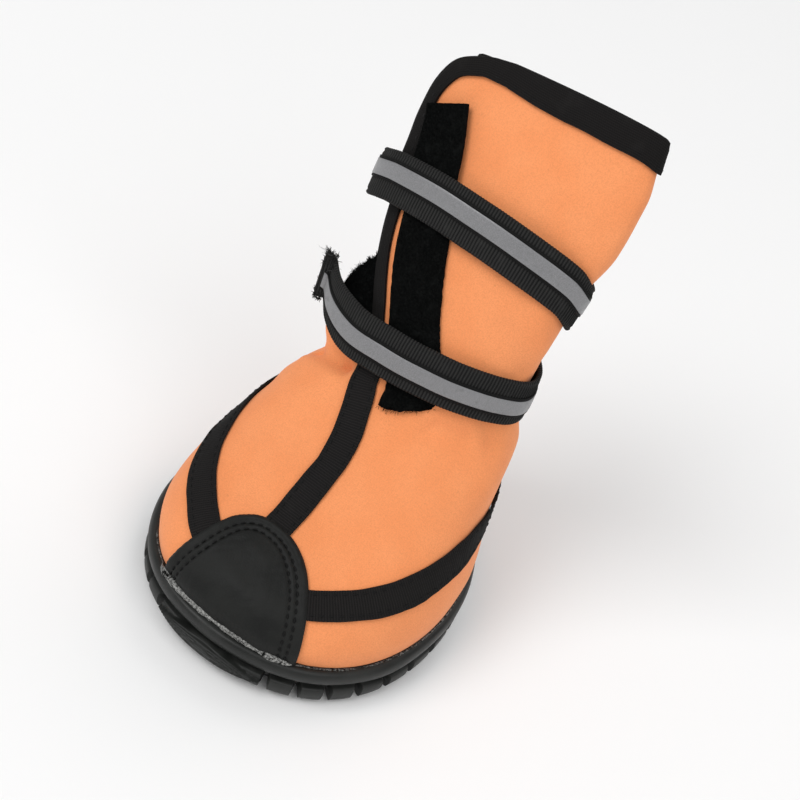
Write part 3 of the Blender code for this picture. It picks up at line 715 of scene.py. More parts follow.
def ribbed(name, dark, pale, pitch, roughness, depth):
    """Ribbon or webbing whose ribs run across it."""
    made = Finish(name, dark, roughness, Specular_IOR_Level=0.12)
    u, v = made.weave()
    cord = ribs(v + made.noise(2.5, 1.0) * (0.25 * pitch), pitch)
    yarn = ribs(u, 0.42)
    fuzz = made.noise(0.22, 3.0, roughness=0.7)
    worn = (made.noise(5.0, 2.0).step(0.55, 0.8) * 0.25, shade(pale, 1.4))
    # The cord and yarn layer paints the rib tops pale as a painted highlight and leaves the grooves between them dark
    # as painted shade; the fuzz and worn layers are paler fibre tone at random.
    made.paint(dark, (cord * 0.75 + yarn * 0.15, pale), (fuzz.step(0.58, 0.82) * 0.4, shade(pale, 2.0)), worn)
    made.bump(cord * 0.7 + yarn * 0.15 + fuzz * 0.15, depth, 0.9)
    return made.material


def stretch_binding():
    made = Finish("binding_cloth", (0.01, 0.01, 0.01), 0.88, Specular_IOR_Level=0.12)
    u, v = made.weave()
    knit = ribs(u, 0.5) * 0.6 + ribs(v + u * 0.3, 0.46) * 0.4
    fuzz = made.noise(0.3, 3.0, roughness=0.7)
    # The knit layer paints the knit's ridges paler as a painted highlight, with the dark base between them as painted
    # shade; the fuzz and cloud layers are paler fibre tone at random.
    made.paint(
        (0.0055, 0.005, 0.005),
        (knit * 0.7, (0.017, 0.0155, 0.015)),
        (fuzz.step(0.6, 0.85) * 0.4, (0.03, 0.029, 0.028)),
        (made.noise(4.0, 2.0).step(0.5, 0.8) * 0.3, (0.02, 0.019, 0.018)),
    )
    made.bump(knit * 0.6 + fuzz * 0.4, 0.14, 0.8)
    return made.material


def loop_pile():
    made = Finish("loop_pile", (0.003, 0.0032, 0.0032), 0.97, Specular_IOR_Level=0.05)
    fuzz = made.noise(0.4, 4.0, roughness=0.75)
    clump = made.noise(2.4, 2.0)
    tufts = (clump.step(0.5, 0.8) * 0.35, (0.013, 0.014, 0.0135))
    made.paint((0.0018, 0.002, 0.002), (fuzz.step(0.4, 0.75), (0.008, 0.0086, 0.0082)), tufts)
    made.bump(fuzz * 0.6 + clump * 0.4, 0.5, 0.9)
    return made.material


def reflective(colour):
    made = Finish("reflective_tape", colour, 0.36, Metallic=0.25, Specular_IOR_Level=0.5)
    u, v = made.weave()
    beads = made.noise(0.2, 2.0, roughness=0.8)
    wear = made.noise(1.6, 4.0)
    worn = (wear.step(0.6, 0.78) * 0.45, shade(colour, 0.5))
    made.paint(shade(colour, 0.72), (beads.step(0.3, 0.75), shade(colour, 1.12)), worn)
    made.set("Roughness", wear.step(0.3, 0.8, 0.30, 0.52))
    made.bump(ribs(u, 0.3) * ribs(v, 0.3) * 0.5 + beads * 0.5, 0.05, 0.5)
    return made.material


def thread():
    made = Finish("black_thread", (0.004, 0.004, 0.004), 0.7, Specular_IOR_Level=0.2)
    twist = made.noise(0.25, 2.0)
    made.paint((0.002, 0.002, 0.002), (twist, (0.008, 0.008, 0.008)))
    made.bump(twist, 0.08, 0.7)
    return made.material


def residue(name, pale, cover):
    """Dried glue that leaves part of the rubber bare: cover is the noise value under which it is gone."""
    made = Finish(name, pale, 0.65)
    broken = made.noise(0.8, 4.0, roughness=0.75)
    stretch = made.noise(4.0, 2.0)
    made.paint(shade(pale, 0.16), (made.noise(0.5, 3.0, roughness=0.7).step(0.38, 0.66), pale))
    made.set("Alpha", (broken * 0.65 + stretch * 0.35).step(cover, cover + 0.07))
    made.bump(broken, 0.2, 0.8)
    return made.material


MAKERS = {
    "softshell": softshell,
    "fleece": fleece,
    "rubber": rubber,
    "coated": coated,
    # Each ribbed finish gets a dark tone and a pale tone: the pale tone is the painted highlight on the rib tops, and
    # it also tints the random fuzz and wear.
    "webbing": lambda: ribbed("webbing", (0.004, 0.004, 0.0042), (0.034, 0.034, 0.033), RIB_PITCH, 0.78, 0.16),
    "tape": lambda: ribbed("grosgrain_tape", (0.007, 0.0065, 0.0065), (0.017, 0.0155, 0.015), 0.62, 0.82, 0.14),
    "edging": lambda: ribbed("stripe_edging", (0.004, 0.004, 0.004), (0.009, 0.009, 0.009), 0.4, 0.7, 0.06),
    "hair": lambda: ribbed("hook_hair", (0.09, 0.09, 0.09), (0.16, 0.16, 0.16), 0.4, 0.6, 0.02),
    "binding": stretch_binding,
    "pile": loop_pile,
    "reflective": reflective,
    "thread": thread,
    "residue": lambda: residue("glue_residue", (0.36, 0.36, 0.345), 0.41),
    "faint_residue": lambda: residue("glue_residue_faint", (0.20, 0.20, 0.19), 0.45),
}
MADE = {}


def finish(name, *colours):
    """One material of each kind, made when first asked for."""
    if name not in MADE:
        MADE[name] = MAKERS[name](*colours)
    return MADE[name]


# Pieces


def round_turns(start, end, counts):
    """Angles once round the boot from start to end, with counts of steps to the right, back, left and end."""
    turns = (start, math.pi / 2, math.pi, 1.5 * math.pi, end)
    return np.concatenate([np.linspace(turns[k], turns[k + 1], counts[k] + 1)[(k > 0):] for k in range(4)])


def build_upper(colour):
    rows = (np.linspace(0, THROAT, 84), np.linspace(THROAT, 9.2, 16), np.linspace(9.2, TOP, 62))
    rows = np.unique(np.concatenate(rows))
    angles = np.array([round_turns(*edge_angles(row), (70, 40, 40, 56)) for row in rows])
    outer = np.array([skin(turns, np.full(turns.shape, row)) for turns, row in zip(angles, rows)])
    inner = np.array([inner_skin(turns, np.full(turns.shape, row)) for turns, row in zip(angles, rows)])
    joined = int(np.sum(rows <= THROAT + 1e-9))
    outer[:joined, -1] = outer[:joined, 0]
    inner[:joined, -1] = inner[:joined, 0]
    uv = np.stack((run_length(outer, 1), run_length(outer, 0)), -1)
    finishes = [finish("softshell", colour), finish("fleece")]
    ride(shell("upper_cloth", outer, inner, finishes, uv, 60, joined), "fabric", "upper")


LUG_COUNT = 34
NOTCH_CUT = 2.5
NOTCH_RISE = 3.6
BUMPER_HALF = 20.5
# The toe pad's middle height, half height, step at its edge, swell, and places and depth of its grooves
PAD_HEIGHT = 2.9
PAD_HALF = 2.45
PAD_STEP = 0.75
PAD_SWELL = 0.55
PAD_GROOVES = (0.74, 0.50, 0.26)
PAD_GROOVE_DEPTH = 0.34
# Inset and height of the sole's side, from the floor up, over the rim and down inside the cup
SOLE_SIDE = np.array((
    (2.2, 0.0), (1.45, 0.1), (0.85, 0.5), (0.45, 1.4), (0.2, 2.8), (0.25, 4.0), (0.6, 4.6), (1.5, 4.95), (2.1, 5.3),
    (2.0, 5.7), (1.3, 6.0), (0.6, 6.5), (0.15, 7.3), (0.0, 8.4), (0.12, 9.3), (0.55, 10.1), (1.2, 10.5),
    (1.9, 10.62), (2.6, 10.55), (3.0, 10.2), (3.35, 9.2), (3.7, 6.5), (3.9, 5.0),
))
TREAD_ROWS = (-27.4, -19.6, -11.8, -4.0, 13.6, 21.4, 29.2)
TREAD_GROOVE = 3.0
TREAD_DEPTH = 1.6
TREAD_HALF = 24.0
CHEVRON = 4.0
ARCH_HEIGHT = 1.0
ARCH_MIDDLE = 6.0
ARCH_LENGTH = 26.0


def tread_height(x, y):
    """Height of the tread over the floor plane: chevron grooves and the arch."""
    reach = TREAD_HALF * np.sqrt(np.clip(1 - (2 * y / SOLE_LENGTH) ** 2, 0, 1))
    height = np.zeros(x.shape)
    for start in TREAD_ROWS:
        along = y - start - CHEVRON * np.abs(x) / TREAD_HALF
        inside = soft(along, -0.2, 0.2) * (1 - soft(along, TREAD_GROOVE - 0.2, TREAD_GROOVE + 0.2))
        height = np.maximum(height, TREAD_DEPTH * inside * (1 - soft(np.abs(x) - reach, -0.3, 0.3)))
    radius = (0.25 * ARCH_LENGTH**2 + ARCH_HEIGHT**2) / (2 * ARCH_HEIGHT)
    arch = ARCH_HEIGHT - radius + np.sqrt(np.clip(radius**2 - (y - ARCH_MIDDLE) ** 2, 0, None))
    return np.maximum(height, np.clip(arch, 0, ARCH_HEIGHT))


def toe_pad(turn, height):
    """How far the toe's almond-shaped pad stands out of the lug band, with grooved rings inside its edge."""
    ring = np.abs(height - PAD_HEIGHT) / PAD_HALF + (turn / math.radians(BUMPER_HALF)) ** 2
    out = PAD_STEP * soft(1 - ring, 0.0, 0.12) + PAD_SWELL * np.sqrt(np.clip(1 - ring, 0, 1))
    for place in PAD_GROOVES:
        out -= PAD_GROOVE_DEPTH * np.exp(-((ring - place) / 0.055) ** 2)
    return out


def build_outsole():
    angles = np.linspace(0, 2 * math.pi, 680, endpoint=False)
    turn = (angles + math.pi) % (2 * math.pi) - math.pi
    phase = (angles / (2 * math.pi) * LUG_COUNT + 0.5) % 1.0
    notch = 1 - soft(np.abs(phase - 0.5), 0.085, 0.11)
    notch = np.where(np.abs(turn) < math.radians(BUMPER_HALF - 1.0), 0.0, notch)
    wobble = ripple(np.stack((angles * 40, angles * 0, angles * 0), 1), 17.0, 11)
    sections = []
    for inset in (*np.linspace(36.5, 4.0, 48), 3.2):
        p = outline(angles, inset, 0.0)
        p[:, 2] += tread_height(p[:, 0], p[:, 1]) + notch * NOTCH_RISE * soft(-inset, -5.2, -4.2)
        sections.append(p)
    spots = np.concatenate((np.linspace(0, 8, 58), np.linspace(8, len(SOLE_SIDE) - 1, 30)[1:]))
    for inset, height in read(SOLE_SIDE, spots, np.arange(len(SOLE_SIDE), dtype=float)):
        cut = notch * (1 - soft(height, 4.6, 5.2))
        out = toe_pad(turn, height) if height < 5.4 else 0.0
        inside = 1 - soft(inset, 2.9, 3.2) if height > 6 else 1.0
        out = out + 0.08 * wobble * inside * soft(height, 0.5, 3.0)
        rise = cut * NOTCH_RISE * (1 - soft(height, 0.0, 4.0))
        sections.append(outline(angles, inset + cut * NOTCH_CUT - out, height + rise))
    for inset in (5.0, 12.0, 24.0, 36.5):
        sections.append(outline(angles, inset, CUP_FLOOR))
    ride(loft("outsole_rubber", np.array(sections), [finish("rubber")], None, 38), "rubber", "outsole")


# Name, degrees from the front, count of sections, half width and half height of each glue line, and its material
GLUE_LINES = (
    ("glue_line_toe", (-28, 28), 260, (0.62, 0.75), "residue"),
    ("glue_line_side", (27, 125), 420, (0.30, 0.22), "faint_residue"),
    ("glue_line_left", (-27, -45), 80, (0.22, 0.2), "faint_residue"),
)


def build_residue():
    """Dried glue between the upper and the rim: a dense line under the toe cap and a thin broken one beside it."""
    turns = np.linspace(0, 2 * math.pi, 10, endpoint=False)[:, None]
    for name, span, count, (half_width, half_height), kind in GLUE_LINES:
        degrees = np.linspace(*span, count)
        far = np.abs(degrees)
        inset = 2.1 - 1.35 * soft(far, 4.0, 30.0) + 1.0 * soft(far, 26.0, 30.0)
        centre = outline(np.radians(degrees), inset, RIM_TOP + (0.55 if kind == "residue" else 0.15))
        out = unit(centre * (1.0, 1.0, 0.0))[:, None]
        uneven = 1.0 + 0.25 * ripple(centre, 5.0, 21) + 0.12 * ripple(centre, 1.6, 22)
        ends = soft(np.abs(degrees - span[0]), 0.0, 3.0) * soft(np.abs(degrees - span[1]), 0.0, 3.0)
        width = np.clip(uneven, 0.3, 1.6) * (0.25 + 0.75 * ends)
        section = half_width * np.cos(turns) * out + half_height * np.sin(turns) * np.array((0.0, 0.0, 1.0))
        ride(loft(name, centre[:, None] + width[:, None, None] * section, [finish(kind)]), "rubber")


CAP_THICKNESS = 1.0
CAP_START = 0.97
CAP_TOP = 5.0
CAP_HALF = 27.5
CAP_LEFT_TRIM = 0.15
CAP_SEAMS = (2.5, 4.1)


def cap_half_angle(row, side):
    f = np.clip((row - CAP_START) / (CAP_TOP - CAP_START), 0, 1)
    trim = 1 - CAP_LEFT_TRIM * np.sin(math.pi * f) * (side < 0)
    return math.radians(CAP_HALF) * (1 - f**2.3) ** (1 / 2.1) * (1 + 0.12 * f) * trim


def cap_place(side, part):
    """Angle and row in the toe cap: side from -1 to 1 across it, part from 0 at the sole to 1 at its top."""
    row = CAP_START + np.sin(math.pi / 2 * part * 0.965) * (CAP_TOP - CAP_START)
    return seam_angle(row) + cap_half_angle(row, side) * side, row


def cap_edge(inward):
    """Angles and rows along the cap's curved edge, set in from it by a distance in mm."""
    sides = np.concatenate((np.full(80, -1.0), np.linspace(-1, 1, 40)[1:-1], np.full(80, 1.0)))
    parts = np.concatenate((np.linspace(0, 1, 80), np.full(38, 1.0), np.linspace(1, 0, 80)))
    angle, row = cap_place(sides, parts)
    run = run_length(round_face(angle, row))
    at = np.linspace(0, run[-1], 300)
    angle, row = np.interp(at, run, angle), np.interp(at, run, row)
    padded = np.pad(round_face(angle, row), ((8, 8), (0, 0)), mode="edge")
    smooth = np.stack([np.convolve(padded[:, k], np.full(17, 1 / 17), "valid") for k in range(3)], 1)
    heading = np.cross(unit(np.gradient(smooth, axis=0)), normal_at(round_face, angle, row))
    return walk(round_face, angle, row, heading, inward)


def build_toe_cap():
    side, part = np.meshgrid(np.linspace(-1, 1, 110), np.linspace(0, 1, 96))
    angle, row = cap_place(side, part)
    base = round_face(angle, row)

    def from_edge(inward):
        line = round_face(*cap_edge(inward))
        return np.min(np.linalg.norm(base[:, :, None] - line, axis=-1), -1)

    far = from_edge(0.0)
    lift = CAP_THICKNESS * (0.35 + 0.65 * np.sqrt(np.clip(far / 0.8, 0, 1))) + 0.3 * soft(far, 4.5, 9.0)
    lift -= 0.10 * soft(far, 0.9, 1.6) * (1 - soft(far, 4.2, 5.0))
    for inward in CAP_SEAMS:
        lift -= 0.30 * np.exp(-(from_edge(inward) / 0.42) ** 2)
    lift += 0.05 * ripple(base, 6.0, 31) + 0.03 * ripple(base, 2.4, 32)
    outer = skin(angle, row, GAP + lift, round_face)
    inner = skin(angle, row, GAP * 0.5, round_face)
    ride(shell("toe_patch", outer, inner, [finish("coated")]), "coated", "toe_cap")
    seams = []
    for inward in CAP_SEAMS:
        angle, row = (places[10:-10] for places in cap_edge(inward))
        seams.append((skin(angle, row, GAP + CAP_THICKNESS - 0.2, round_face), normal_at(round_face, angle, row)))
    stitches("toe_patch_stitches", seams, "coated", 2.0, 1.35, 0.24)


TAPE_THICKNESS = 0.7
TAPE_GAP = GAP * 0.6
TAPE_SEAM = 1.1


def build_tape(name, node, path, width, seed):
    """A ribbon along a path on the skin, with a stitched seam near each edge."""
    path, run = even_path(path, round_face, 0.7)
    across, height = flat_profile(width, TAPE_THICKNESS)
    middle = round_face(*path.T)
    top_side = height > TAPE_THICKNESS * 0.6
    across = across * (1 + 0.015 * ripple(middle, 7.0, seed))[:, None]
    puff = 0.06 * ripple(middle, 5.0, seed + 1)[:, None] * top_side
    pits = 0.10 * np.exp(-((np.abs(across) - (width / 2 - TAPE_SEAM)) / 0.35) ** 2) * top_side
    grid = lay_band(path, across, TAPE_GAP + height + puff - pits, round_face)
    ride(loft(name, grid, [finish("tape")], pairs(across, run)), "tape", node)
    lines = []
    for side in (-1, 1):
        offset = np.full((len(path), 1), side * (width / 2 - TAPE_SEAM))
        line = lay_band(path, offset, TAPE_GAP + TAPE_THICKNESS - 0.02, round_face)[:, 0]
        lines.append((line, normal_at(round_face, *path.T)))
    stitches(name + "_stitches", lines, "tape", 2.3, 1.5, 0.2)


def build_tapes():
    rows = np.linspace(4.86, THROAT + 0.45, 60)
    x = np.interp(rows, SEAM[:, 0], SEAM[:, 1]) + read(FRONT_SHIFT, rows)[:, 1]
    build_tape("front_ribbon", "front_seam_tape", np.stack((edge_angle(x, rows, "flap"), rows), 1), 7.2, 41)
    degrees = np.linspace(20.0, 174.0, 120)
    for sense, name in ((1, "right"), (-1, "left")):
        path = np.stack((sense * np.radians(degrees), read(SIDE_TAPES[name], degrees)[:, 1]), 1)
        build_tape("side_ribbon_" + name, "side_tape_" + name, path, TAPE_WIDTH, 43 + sense)
    path = np.stack((np.full(120, math.pi), np.linspace(1.05, 13.35, 120)), 1)
    build_tape("back_ribbon", "back_seam_tape", path, TAPE_WIDTH, 47)


# Distance past the collar's corner in mm and width of the binding's outer leg there
BINDING_WIDTHS = np.array((
    (-60, 2.7), (-44, 3.6), (-34, 3.6), (-22, 3.0), (-7, 3.3), (0, 4.2), (8, 5.2), (16, 5.6),
))
BINDING_LEG = 0.75
BINDING_GAP = 0.3


def build_binding():
    """Folded stretch binding along the flap's free edge and round the collar."""
    row = np.concatenate((np.linspace(THROAT + 0.75, 13.4, 70), np.linspace(13.4, 14.9, 30)[1:]))
    angle = np.array([edge_angles(place)[0] for place in row])
    collar = round_turns(*edge_angles(TOP), (50, 40, 40, 40))
    angle, row = np.concatenate((angle, collar)), np.concatenate((row, np.full(collar.shape, TOP)))
    edge = lapped_face(angle, row)
    n = normal_at(lapped_face, angle, row)
    inward = unit(np.cross(n, unit(-np.gradient(edge, axis=0))))
    run = run_length(edge)
    past = run - run[np.searchsorted(row, TOP)]
    width = np.interp(past, BINDING_WIDTHS[:, 0], BINDING_WIDTHS[:, 1]) + 0.05 * ripple(edge, 12.0, 51)
    out = skin(angle, row)
    back = inner_skin(angle, row)

    def legs(face, shares, lifts):
        return [face(*walk(lapped_face, angle, row, inward, width * share), lift) for share, lift in zip(shares, lifts)]

    shares = np.linspace(1, 0.12, 8)
    lifts = [BINDING_LEG + BINDING_GAP] * len(shares)
    sections = legs(skin, shares, [lifts[0] - 0.12] + lifts[1:])
    middle = 0.5 * (out + back)
    half = 0.5 * np.linalg.norm(out - back, axis=1)[:, None] + BINDING_LEG + 0.15
    for phi in np.linspace(math.pi / 2, -math.pi / 2, 7)[1:-1]:
        sections.append(middle + unit(out - back) * half * math.sin(phi) - inward * (0.3 + 1.0 * math.cos(phi)))
    sections += legs(inner_skin, shares[::-1], lifts)
    sections += legs(inner_skin, (1.0, 0.5, 0.12), [BINDING_GAP] * 3)
    sections += [back - inward * 0.25, out - inward * 0.25]
    sections += legs(skin, (0.12, 0.5, 1.0), [BINDING_GAP] * 3)
    grid = np.stack(sections, 1)
    piece = loft("collar_ribbon", grid, [finish("binding")], pairs(run_length(grid, 1), run))
    ride(piece, "binding", "collar_binding")
    line = skin(*walk(lapped_face, angle, row, inward, width - 1.0), BINDING_LEG + 0.25)
    stitches("collar_ribbon_stitches", [(line, n)], "binding", 2.6, 1.7, 0.2)


HAIR_RADIUS = 0.05
STRIP_THICKNESS = 1.0
# Places across the loop strip, from its right edge, and how far its foot is cut back there
STRIP_CUT = np.array(((-1.0, 2.4), (-0.2, 2.7), (0.6, 4.8), (1.0, 6.3)))


def build_loop_strip():
    rows = np.linspace(7.75, 13.2, 90)
    _, x, reach = read(LOOP_STRIP, np.clip(rows, 7.9, 13.1)).T
    x = x + np.maximum(7.9 - rows, 0) * 3.0 - np.maximum(rows - 13.1, 0) * 6.0
    angle = np.where(x < 0, edge_angle(x, rows, "flap"), edge_angle(x, rows, "right"))
    path, run = even_path(np.stack((angle, rows), 1), lapped_face, 0.6)
    reach = np.interp(path[:, 1], rows, reach) / STRIP_HALF
    rng = np.random.default_rng(61)
    under, over = 6, 25
    across, height = flat_profile(2 * STRIP_HALF, STRIP_THICKNESS, under, over, 0.3)
    ragged = np.interp(np.arange(len(path)), np.arange(0, len(path), 2), rng.normal(size=(len(path) + 1) // 2) * 0.06)
    edge = np.abs(across) > STRIP_HALF - 0.5
    middle = lapped_face(*path.T)
    n = normal_at(lapped_face, *path.T)
    turned = np.where(np.cross(np.gradient(middle, axis=0), n)[:, 0] < 0, 1.0, -1.0)
    across = across * np.where(turned[:, None] * across > 0, reach[:, None], 1.0)
    across = across + ragged[:, None] * np.sign(across) * edge
    over_binding = np.interp(path[:, 1], (11.5, 12.1), (0.0, 1.1))
    crown = 0.2 * (height > 0.6) * (1 - (across / 6.3) ** 2)
    grid = lay_band(path, across, GAP * 0.7 + over_binding[:, None] + height + crown, lapped_face)
    top = slice(under + 3, under + 3 + over)
    grid[:, top] += (0.12 * ripple(grid[:, top], 1.8, 62))[..., None] * n[:, None]
    jagged = ripple(across[0][:, None] * (1.0, 0.0, 0.0), 1.6, 67)
    short = np.interp(-turned[0] * across[0] / STRIP_HALF, STRIP_CUT[:, 0], STRIP_CUT[:, 1]) + 0.3 * jagged
    fade = np.clip(1 - run / 9.0, 0, 1)
    grid += unit(middle[4] - middle[0]) * (short * fade[:, None])[..., None]
    ride(loft("loop_strip_tape", grid, [finish("pile")], pairs(across, run)), "pile", "loop_strip")
    pile_hairs("loop_strip_pile", grid[:, top][:, ::-1], 16000, 64, 0.7)
    low = grid[0, top]
    roots = low[rng.integers(0, len(low), 40)] + rng.normal(size=(40, 3)) * 0.15
    headings = unit(unit(middle[0] - middle[3]) + rng.normal(size=(40, 3)) * 0.35)
    strands("loop_strip_threads", roots, headings, "pile", "pile", 1.2, 0.08, 66)


STRAP_WIDTH = 12.0
STRAP_THICKNESS = 1.2
RIB_PITCH = 0.76
RIB_HEIGHT = 0.08
STRIPE_WIDTH = 3.9
STRIPE_SHIFT = {"upper": 1.1, "lower": -0.8}
# How far the stripe ends before the strap does
STRIPE_END = {"upper": 3.4, "lower": 0.6}
# Parts of the upper strap between which its hook pad lies, and the pad's half width
UPPER_PAD = (0.80, 0.971)
UPPER_PAD_HALF = 5.3


def strap_frame(key, parts):
    """Degrees, places, outward normals and upward directions along a strap's route, parts from 0 to 1."""
    table = STRAPS[key]
    degrees = table[0, 0] + parts * (table[-1, 0] - table[0, 0])
    _, row, lift = read(table[::-1], degrees).T
    angle = np.radians(degrees)
    n = normal_at(round_face, angle, row)
    up = unit(tangents(round_face, angle, row)[1])
    return degrees, round_face(angle, row) + n * lift[:, None], n, up


def even_parts(key, step, start=0.0, end=1.0):
    parts = np.linspace(start, end, 800)
    run = run_length(strap_frame(key, parts)[1])
    at = np.linspace(0, run[-1], int(run[-1] / step) + 1)
    return np.interp(at, run, parts), at


def lay_on_strap(base, n, up, across, lift):
    across, lift = np.broadcast_arrays(across, lift)
    return base[:, None] + n[:, None] * lift[..., None] + up[:, None] * across[..., None]


def build_strap(key):
    parts, run = even_parts(key, 0.19)
    degrees, base, n, up = strap_frame(key, parts)
    across, height = flat_profile(STRAP_WIDTH, STRAP_THICKNESS, 7, 21, 0.5)
    ahead = unit(np.gradient(base, axis=0))
    n = unit(n - np.sum(n * ahead, -1, keepdims=True) * ahead)
    if key == "lower":
        up = up * np.interp(degrees, STRAP_SPREAD[:, 0], STRAP_SPREAD[:, 1])[:, None]
    wave = np.sin(run * 2 * math.pi / RIB_PITCH)[:, None]
    upper_side = height > STRAP_THICKNESS * 0.55
    far = np.abs(across)
    ribbed_part = np.where(upper_side, 1.0, -1.0) * (1 - soft(far, 4.7, 5.0))
    selvage = -0.16 * np.exp(-((far - 4.95) / 0.16) ** 2) - 0.12 * soft(far, 5.4, 6.0)
    sway = 0.04 * ripple(base, 12.0, 71)[:, None]
    lift = height + RIB_HEIGHT * wave * ribbed_part + selvage * upper_side
    across = across + sway + 0.05 * wave * np.sign(across) * (far > 5.4)
    grid = lay_on_strap(base, n, up, across, lift)
    ride(loft("strap_webbing_" + key, grid, [finish("webbing")], pairs(across, run)), "webbing", "strap_" + key)

    keep = np.flatnonzero((run > 2.5) & (run < run[-1] - STRIPE_END[key]))[::4]
    route = base[keep], n[keep], up[keep]
    shift = STRIPE_SHIFT[key]
    colour = tuple(bpy.context.scene.boot_colours.stripe)
    for name, width, low, material, nodes in (
        ("stripe_edging_", STRIPE_WIDTH + 1.5, 0.12, finish("edging"), ()),
        ("stripe_tape_", STRIPE_WIDTH, 0.26, finish("reflective", colour), ("reflective_stripe_" + key,)),
    ):
        across, height = flat_profile(width, 0.22, 3, 7, 0.1)
        across = shift + sway[keep] + across
        stripe = lay_on_strap(*route, across, STRAP_THICKNESS + low + height)
        ride(loft(name + key, stripe, [material], pairs(across, run[keep])), "reflective", *nodes)
    lines = []
    for side in (-1, 1):
        across = shift + side * (STRIPE_WIDTH / 2 + 0.4)
        lines.append((route[0] + route[1] * (STRAP_THICKNESS + 0.3) + route[2] * across, route[1]))
    stitches("strap_stitches_" + key, lines, "webbing", 1.9, 1.2, 0.13)
    fray(key, base, n, up)


def build_upper_pad():
    """The hook pad under the upper strap's free end."""
    route = strap_frame("upper", even_parts("upper", 0.5, *UPPER_PAD)[0])[1:]
    span = np.linspace(-UPPER_PAD_HALF, UPPER_PAD_HALF, 21)
    rough = 0.12 * ripple(lay_on_strap(*route, span, 0 * span), 1.7, 74)
    front = lay_on_strap(*route, span, rough - 0.3)
    rear = lay_on_strap(*route, span, -1.3 - rough)
    ride(loft("hook_tape_upper", np.concatenate((rear, front[:, ::-1]), 1), [finish("pile")]), "pile", "hook_pad_upper")
    pile_hairs("hook_pile_upper", rear[:, ::-1], 2500, 75, 0.6)


# Degrees, top row and distance from the cloth at the top and at the foot of the lower hook pad, which leans on the
# shaft behind its strap and tucks under the flap's binding
LOWER_PAD = np.array((
    (-30.0, 10.0, -2.2, -0.6), (-38.0, 10.5, -1.9, 0.6), (-45.0, 10.52, -1.1, 1.4), (-52.0, 10.30, -0.3, 1.8),
    (-60.0, 10.02, 0.0, 2.1), (-66.0, 9.80, 0.3, 2.4), (-72.0, 9.54, 0.7, 2.6), (-76.0, 9.34, 1.0, 2.8),
))
LOWER_PAD_FOOT = 8.75
LOWER_PAD_THICKNESS = 0.9


def build_lower_pad():
    """The fuzzy pad above the lower strap's free end."""
    degrees = np.linspace(LOWER_PAD[0, 0], LOWER_PAD[-1, 0], 70)
    _, top, top_out, foot_out = read(LOWER_PAD[::-1], degrees).T
    part = np.linspace(0, 1, 40)
    angle = np.radians(degrees)[:, None] + 0 * part
    place = round_face(angle[:, -1], top)
    ragged = 0.04 * ripple(place, 2.6, 77) + 0.03 * ripple(place, 1.0, 78)
    row = LOWER_PAD_FOOT + (top + ragged - LOWER_PAD_FOOT)[:, None] * part
    lean = foot_out[:, None] + (top_out - foot_out)[:, None] * part**1.3
    rough = 0.14 * ripple(round_face(angle, row), 1.6, 79)
    front = skin(angle, row, lean + rough + LOWER_PAD_THICKNESS, round_face)
    rear = skin(angle, row, lean - 0.15, round_face)
    ride(loft("hook_tape_lower", np.concatenate((rear, front[:, ::-1]), 1), [finish("pile")]), "pile", "hook_pad_lower")
    pile_hairs("hook_pile_lower", front, 9000, 76, side=-1.0)
    rng = np.random.default_rng(80)
    pick = rng.integers(24, len(front), 140)
    up = unit(front[:, -1] - front[:, -4])
    outward = normal_at(round_face, angle[:, 0], row[:, 0])
    headings = unit(up[pick] * 0.8 + outward[pick] * 0.5 + rng.normal(size=(140, 3)) * 0.5)
    strands("hook_threads_lower", front[pick, -1], headings, "pile", "pile", 1.0, 0.07, 81)
    rim = front[rng.integers(46, 70, 110), -1]
    aside = unit(front[-1, 20] - front[-5, 20])
    headings = unit(aside * 0.8 - up[-1] * 0.4 + rng.normal(size=(110, 3)) * 0.5)
    strands("hook_hairs_lower", rim, headings, "hair", "pile", 1.3, 0.05, 83)


# End of the strap, count and length of its loose yarns, how far they reach back from the cut and the lowest and
# highest place of their roots across the strap
FRAYS = {
    "upper": (("end", -1, 30, 0.9, 0.8, -6.0, 6.0),),
    "lower": (
        ("end_top", -1, 330, 1.6, 3.2, 1.9, 6.3),
        ("end_foot", -1, 150, 1.3, 2.2, -6.3, -4.2),
        ("end_edge", -1, 60, 0.8, 0.3, -6.0, 6.0),
        ("start", 0, 20, 1.2, 0.6, -6.0, 6.0),
    ),
}
YARN_RADIUS = 0.12


def fray(key, base, n, up):
    """Loose yarns at a strap's cut ends."""
    for name, end, count, length, depth, low, high in FRAYS[key]:
        rng = np.random.default_rng(81 + count)
        away = unit(base[end] - base[-9 if end else 8])
        side = rng.uniform(low, high, count)[:, None]
        height = rng.uniform(0.2, 1.3, count)[:, None]
        back = depth * rng.uniform(0, 1, count)[:, None]
        roots = base[end] + up[end] * side + n[end] * height - away * back
        headings = unit(away * 0.6 + rng.normal(size=(count, 3)) * 0.8 + up[end] * (side / 6.0))
        piece = "strap_fray_" + key + "_" + name
        strands(piece, roots, headings, "webbing", "webbing", length, YARN_RADIUS, 82, 1.3, 5)
        if name == "end_top":
            headings = unit(away + rng.normal(size=(8, 3)) * 0.35)
            strands("strap_hairs_" + key, roots[:8], headings, "hair", "webbing", 4.0, 0.05, 85, 0.5, 6)


def dress_insole():
    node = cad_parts["insole"]
    node.data.materials.clear()
    node.data.materials.append(finish("fleece"))


# Stage

# Azimuth, elevation and roll of the photo's view of the boot, in degrees
VIEW_TURNS = (20.8, 46.3, 21.1)
VIEW_DISTANCE = 0.402
# The boot's middle, right of and above the sole's middle in the picture
VIEW_TARGET = (0.021, 0.040)
LIGHTS_AIM = (0, 0, 0.04)
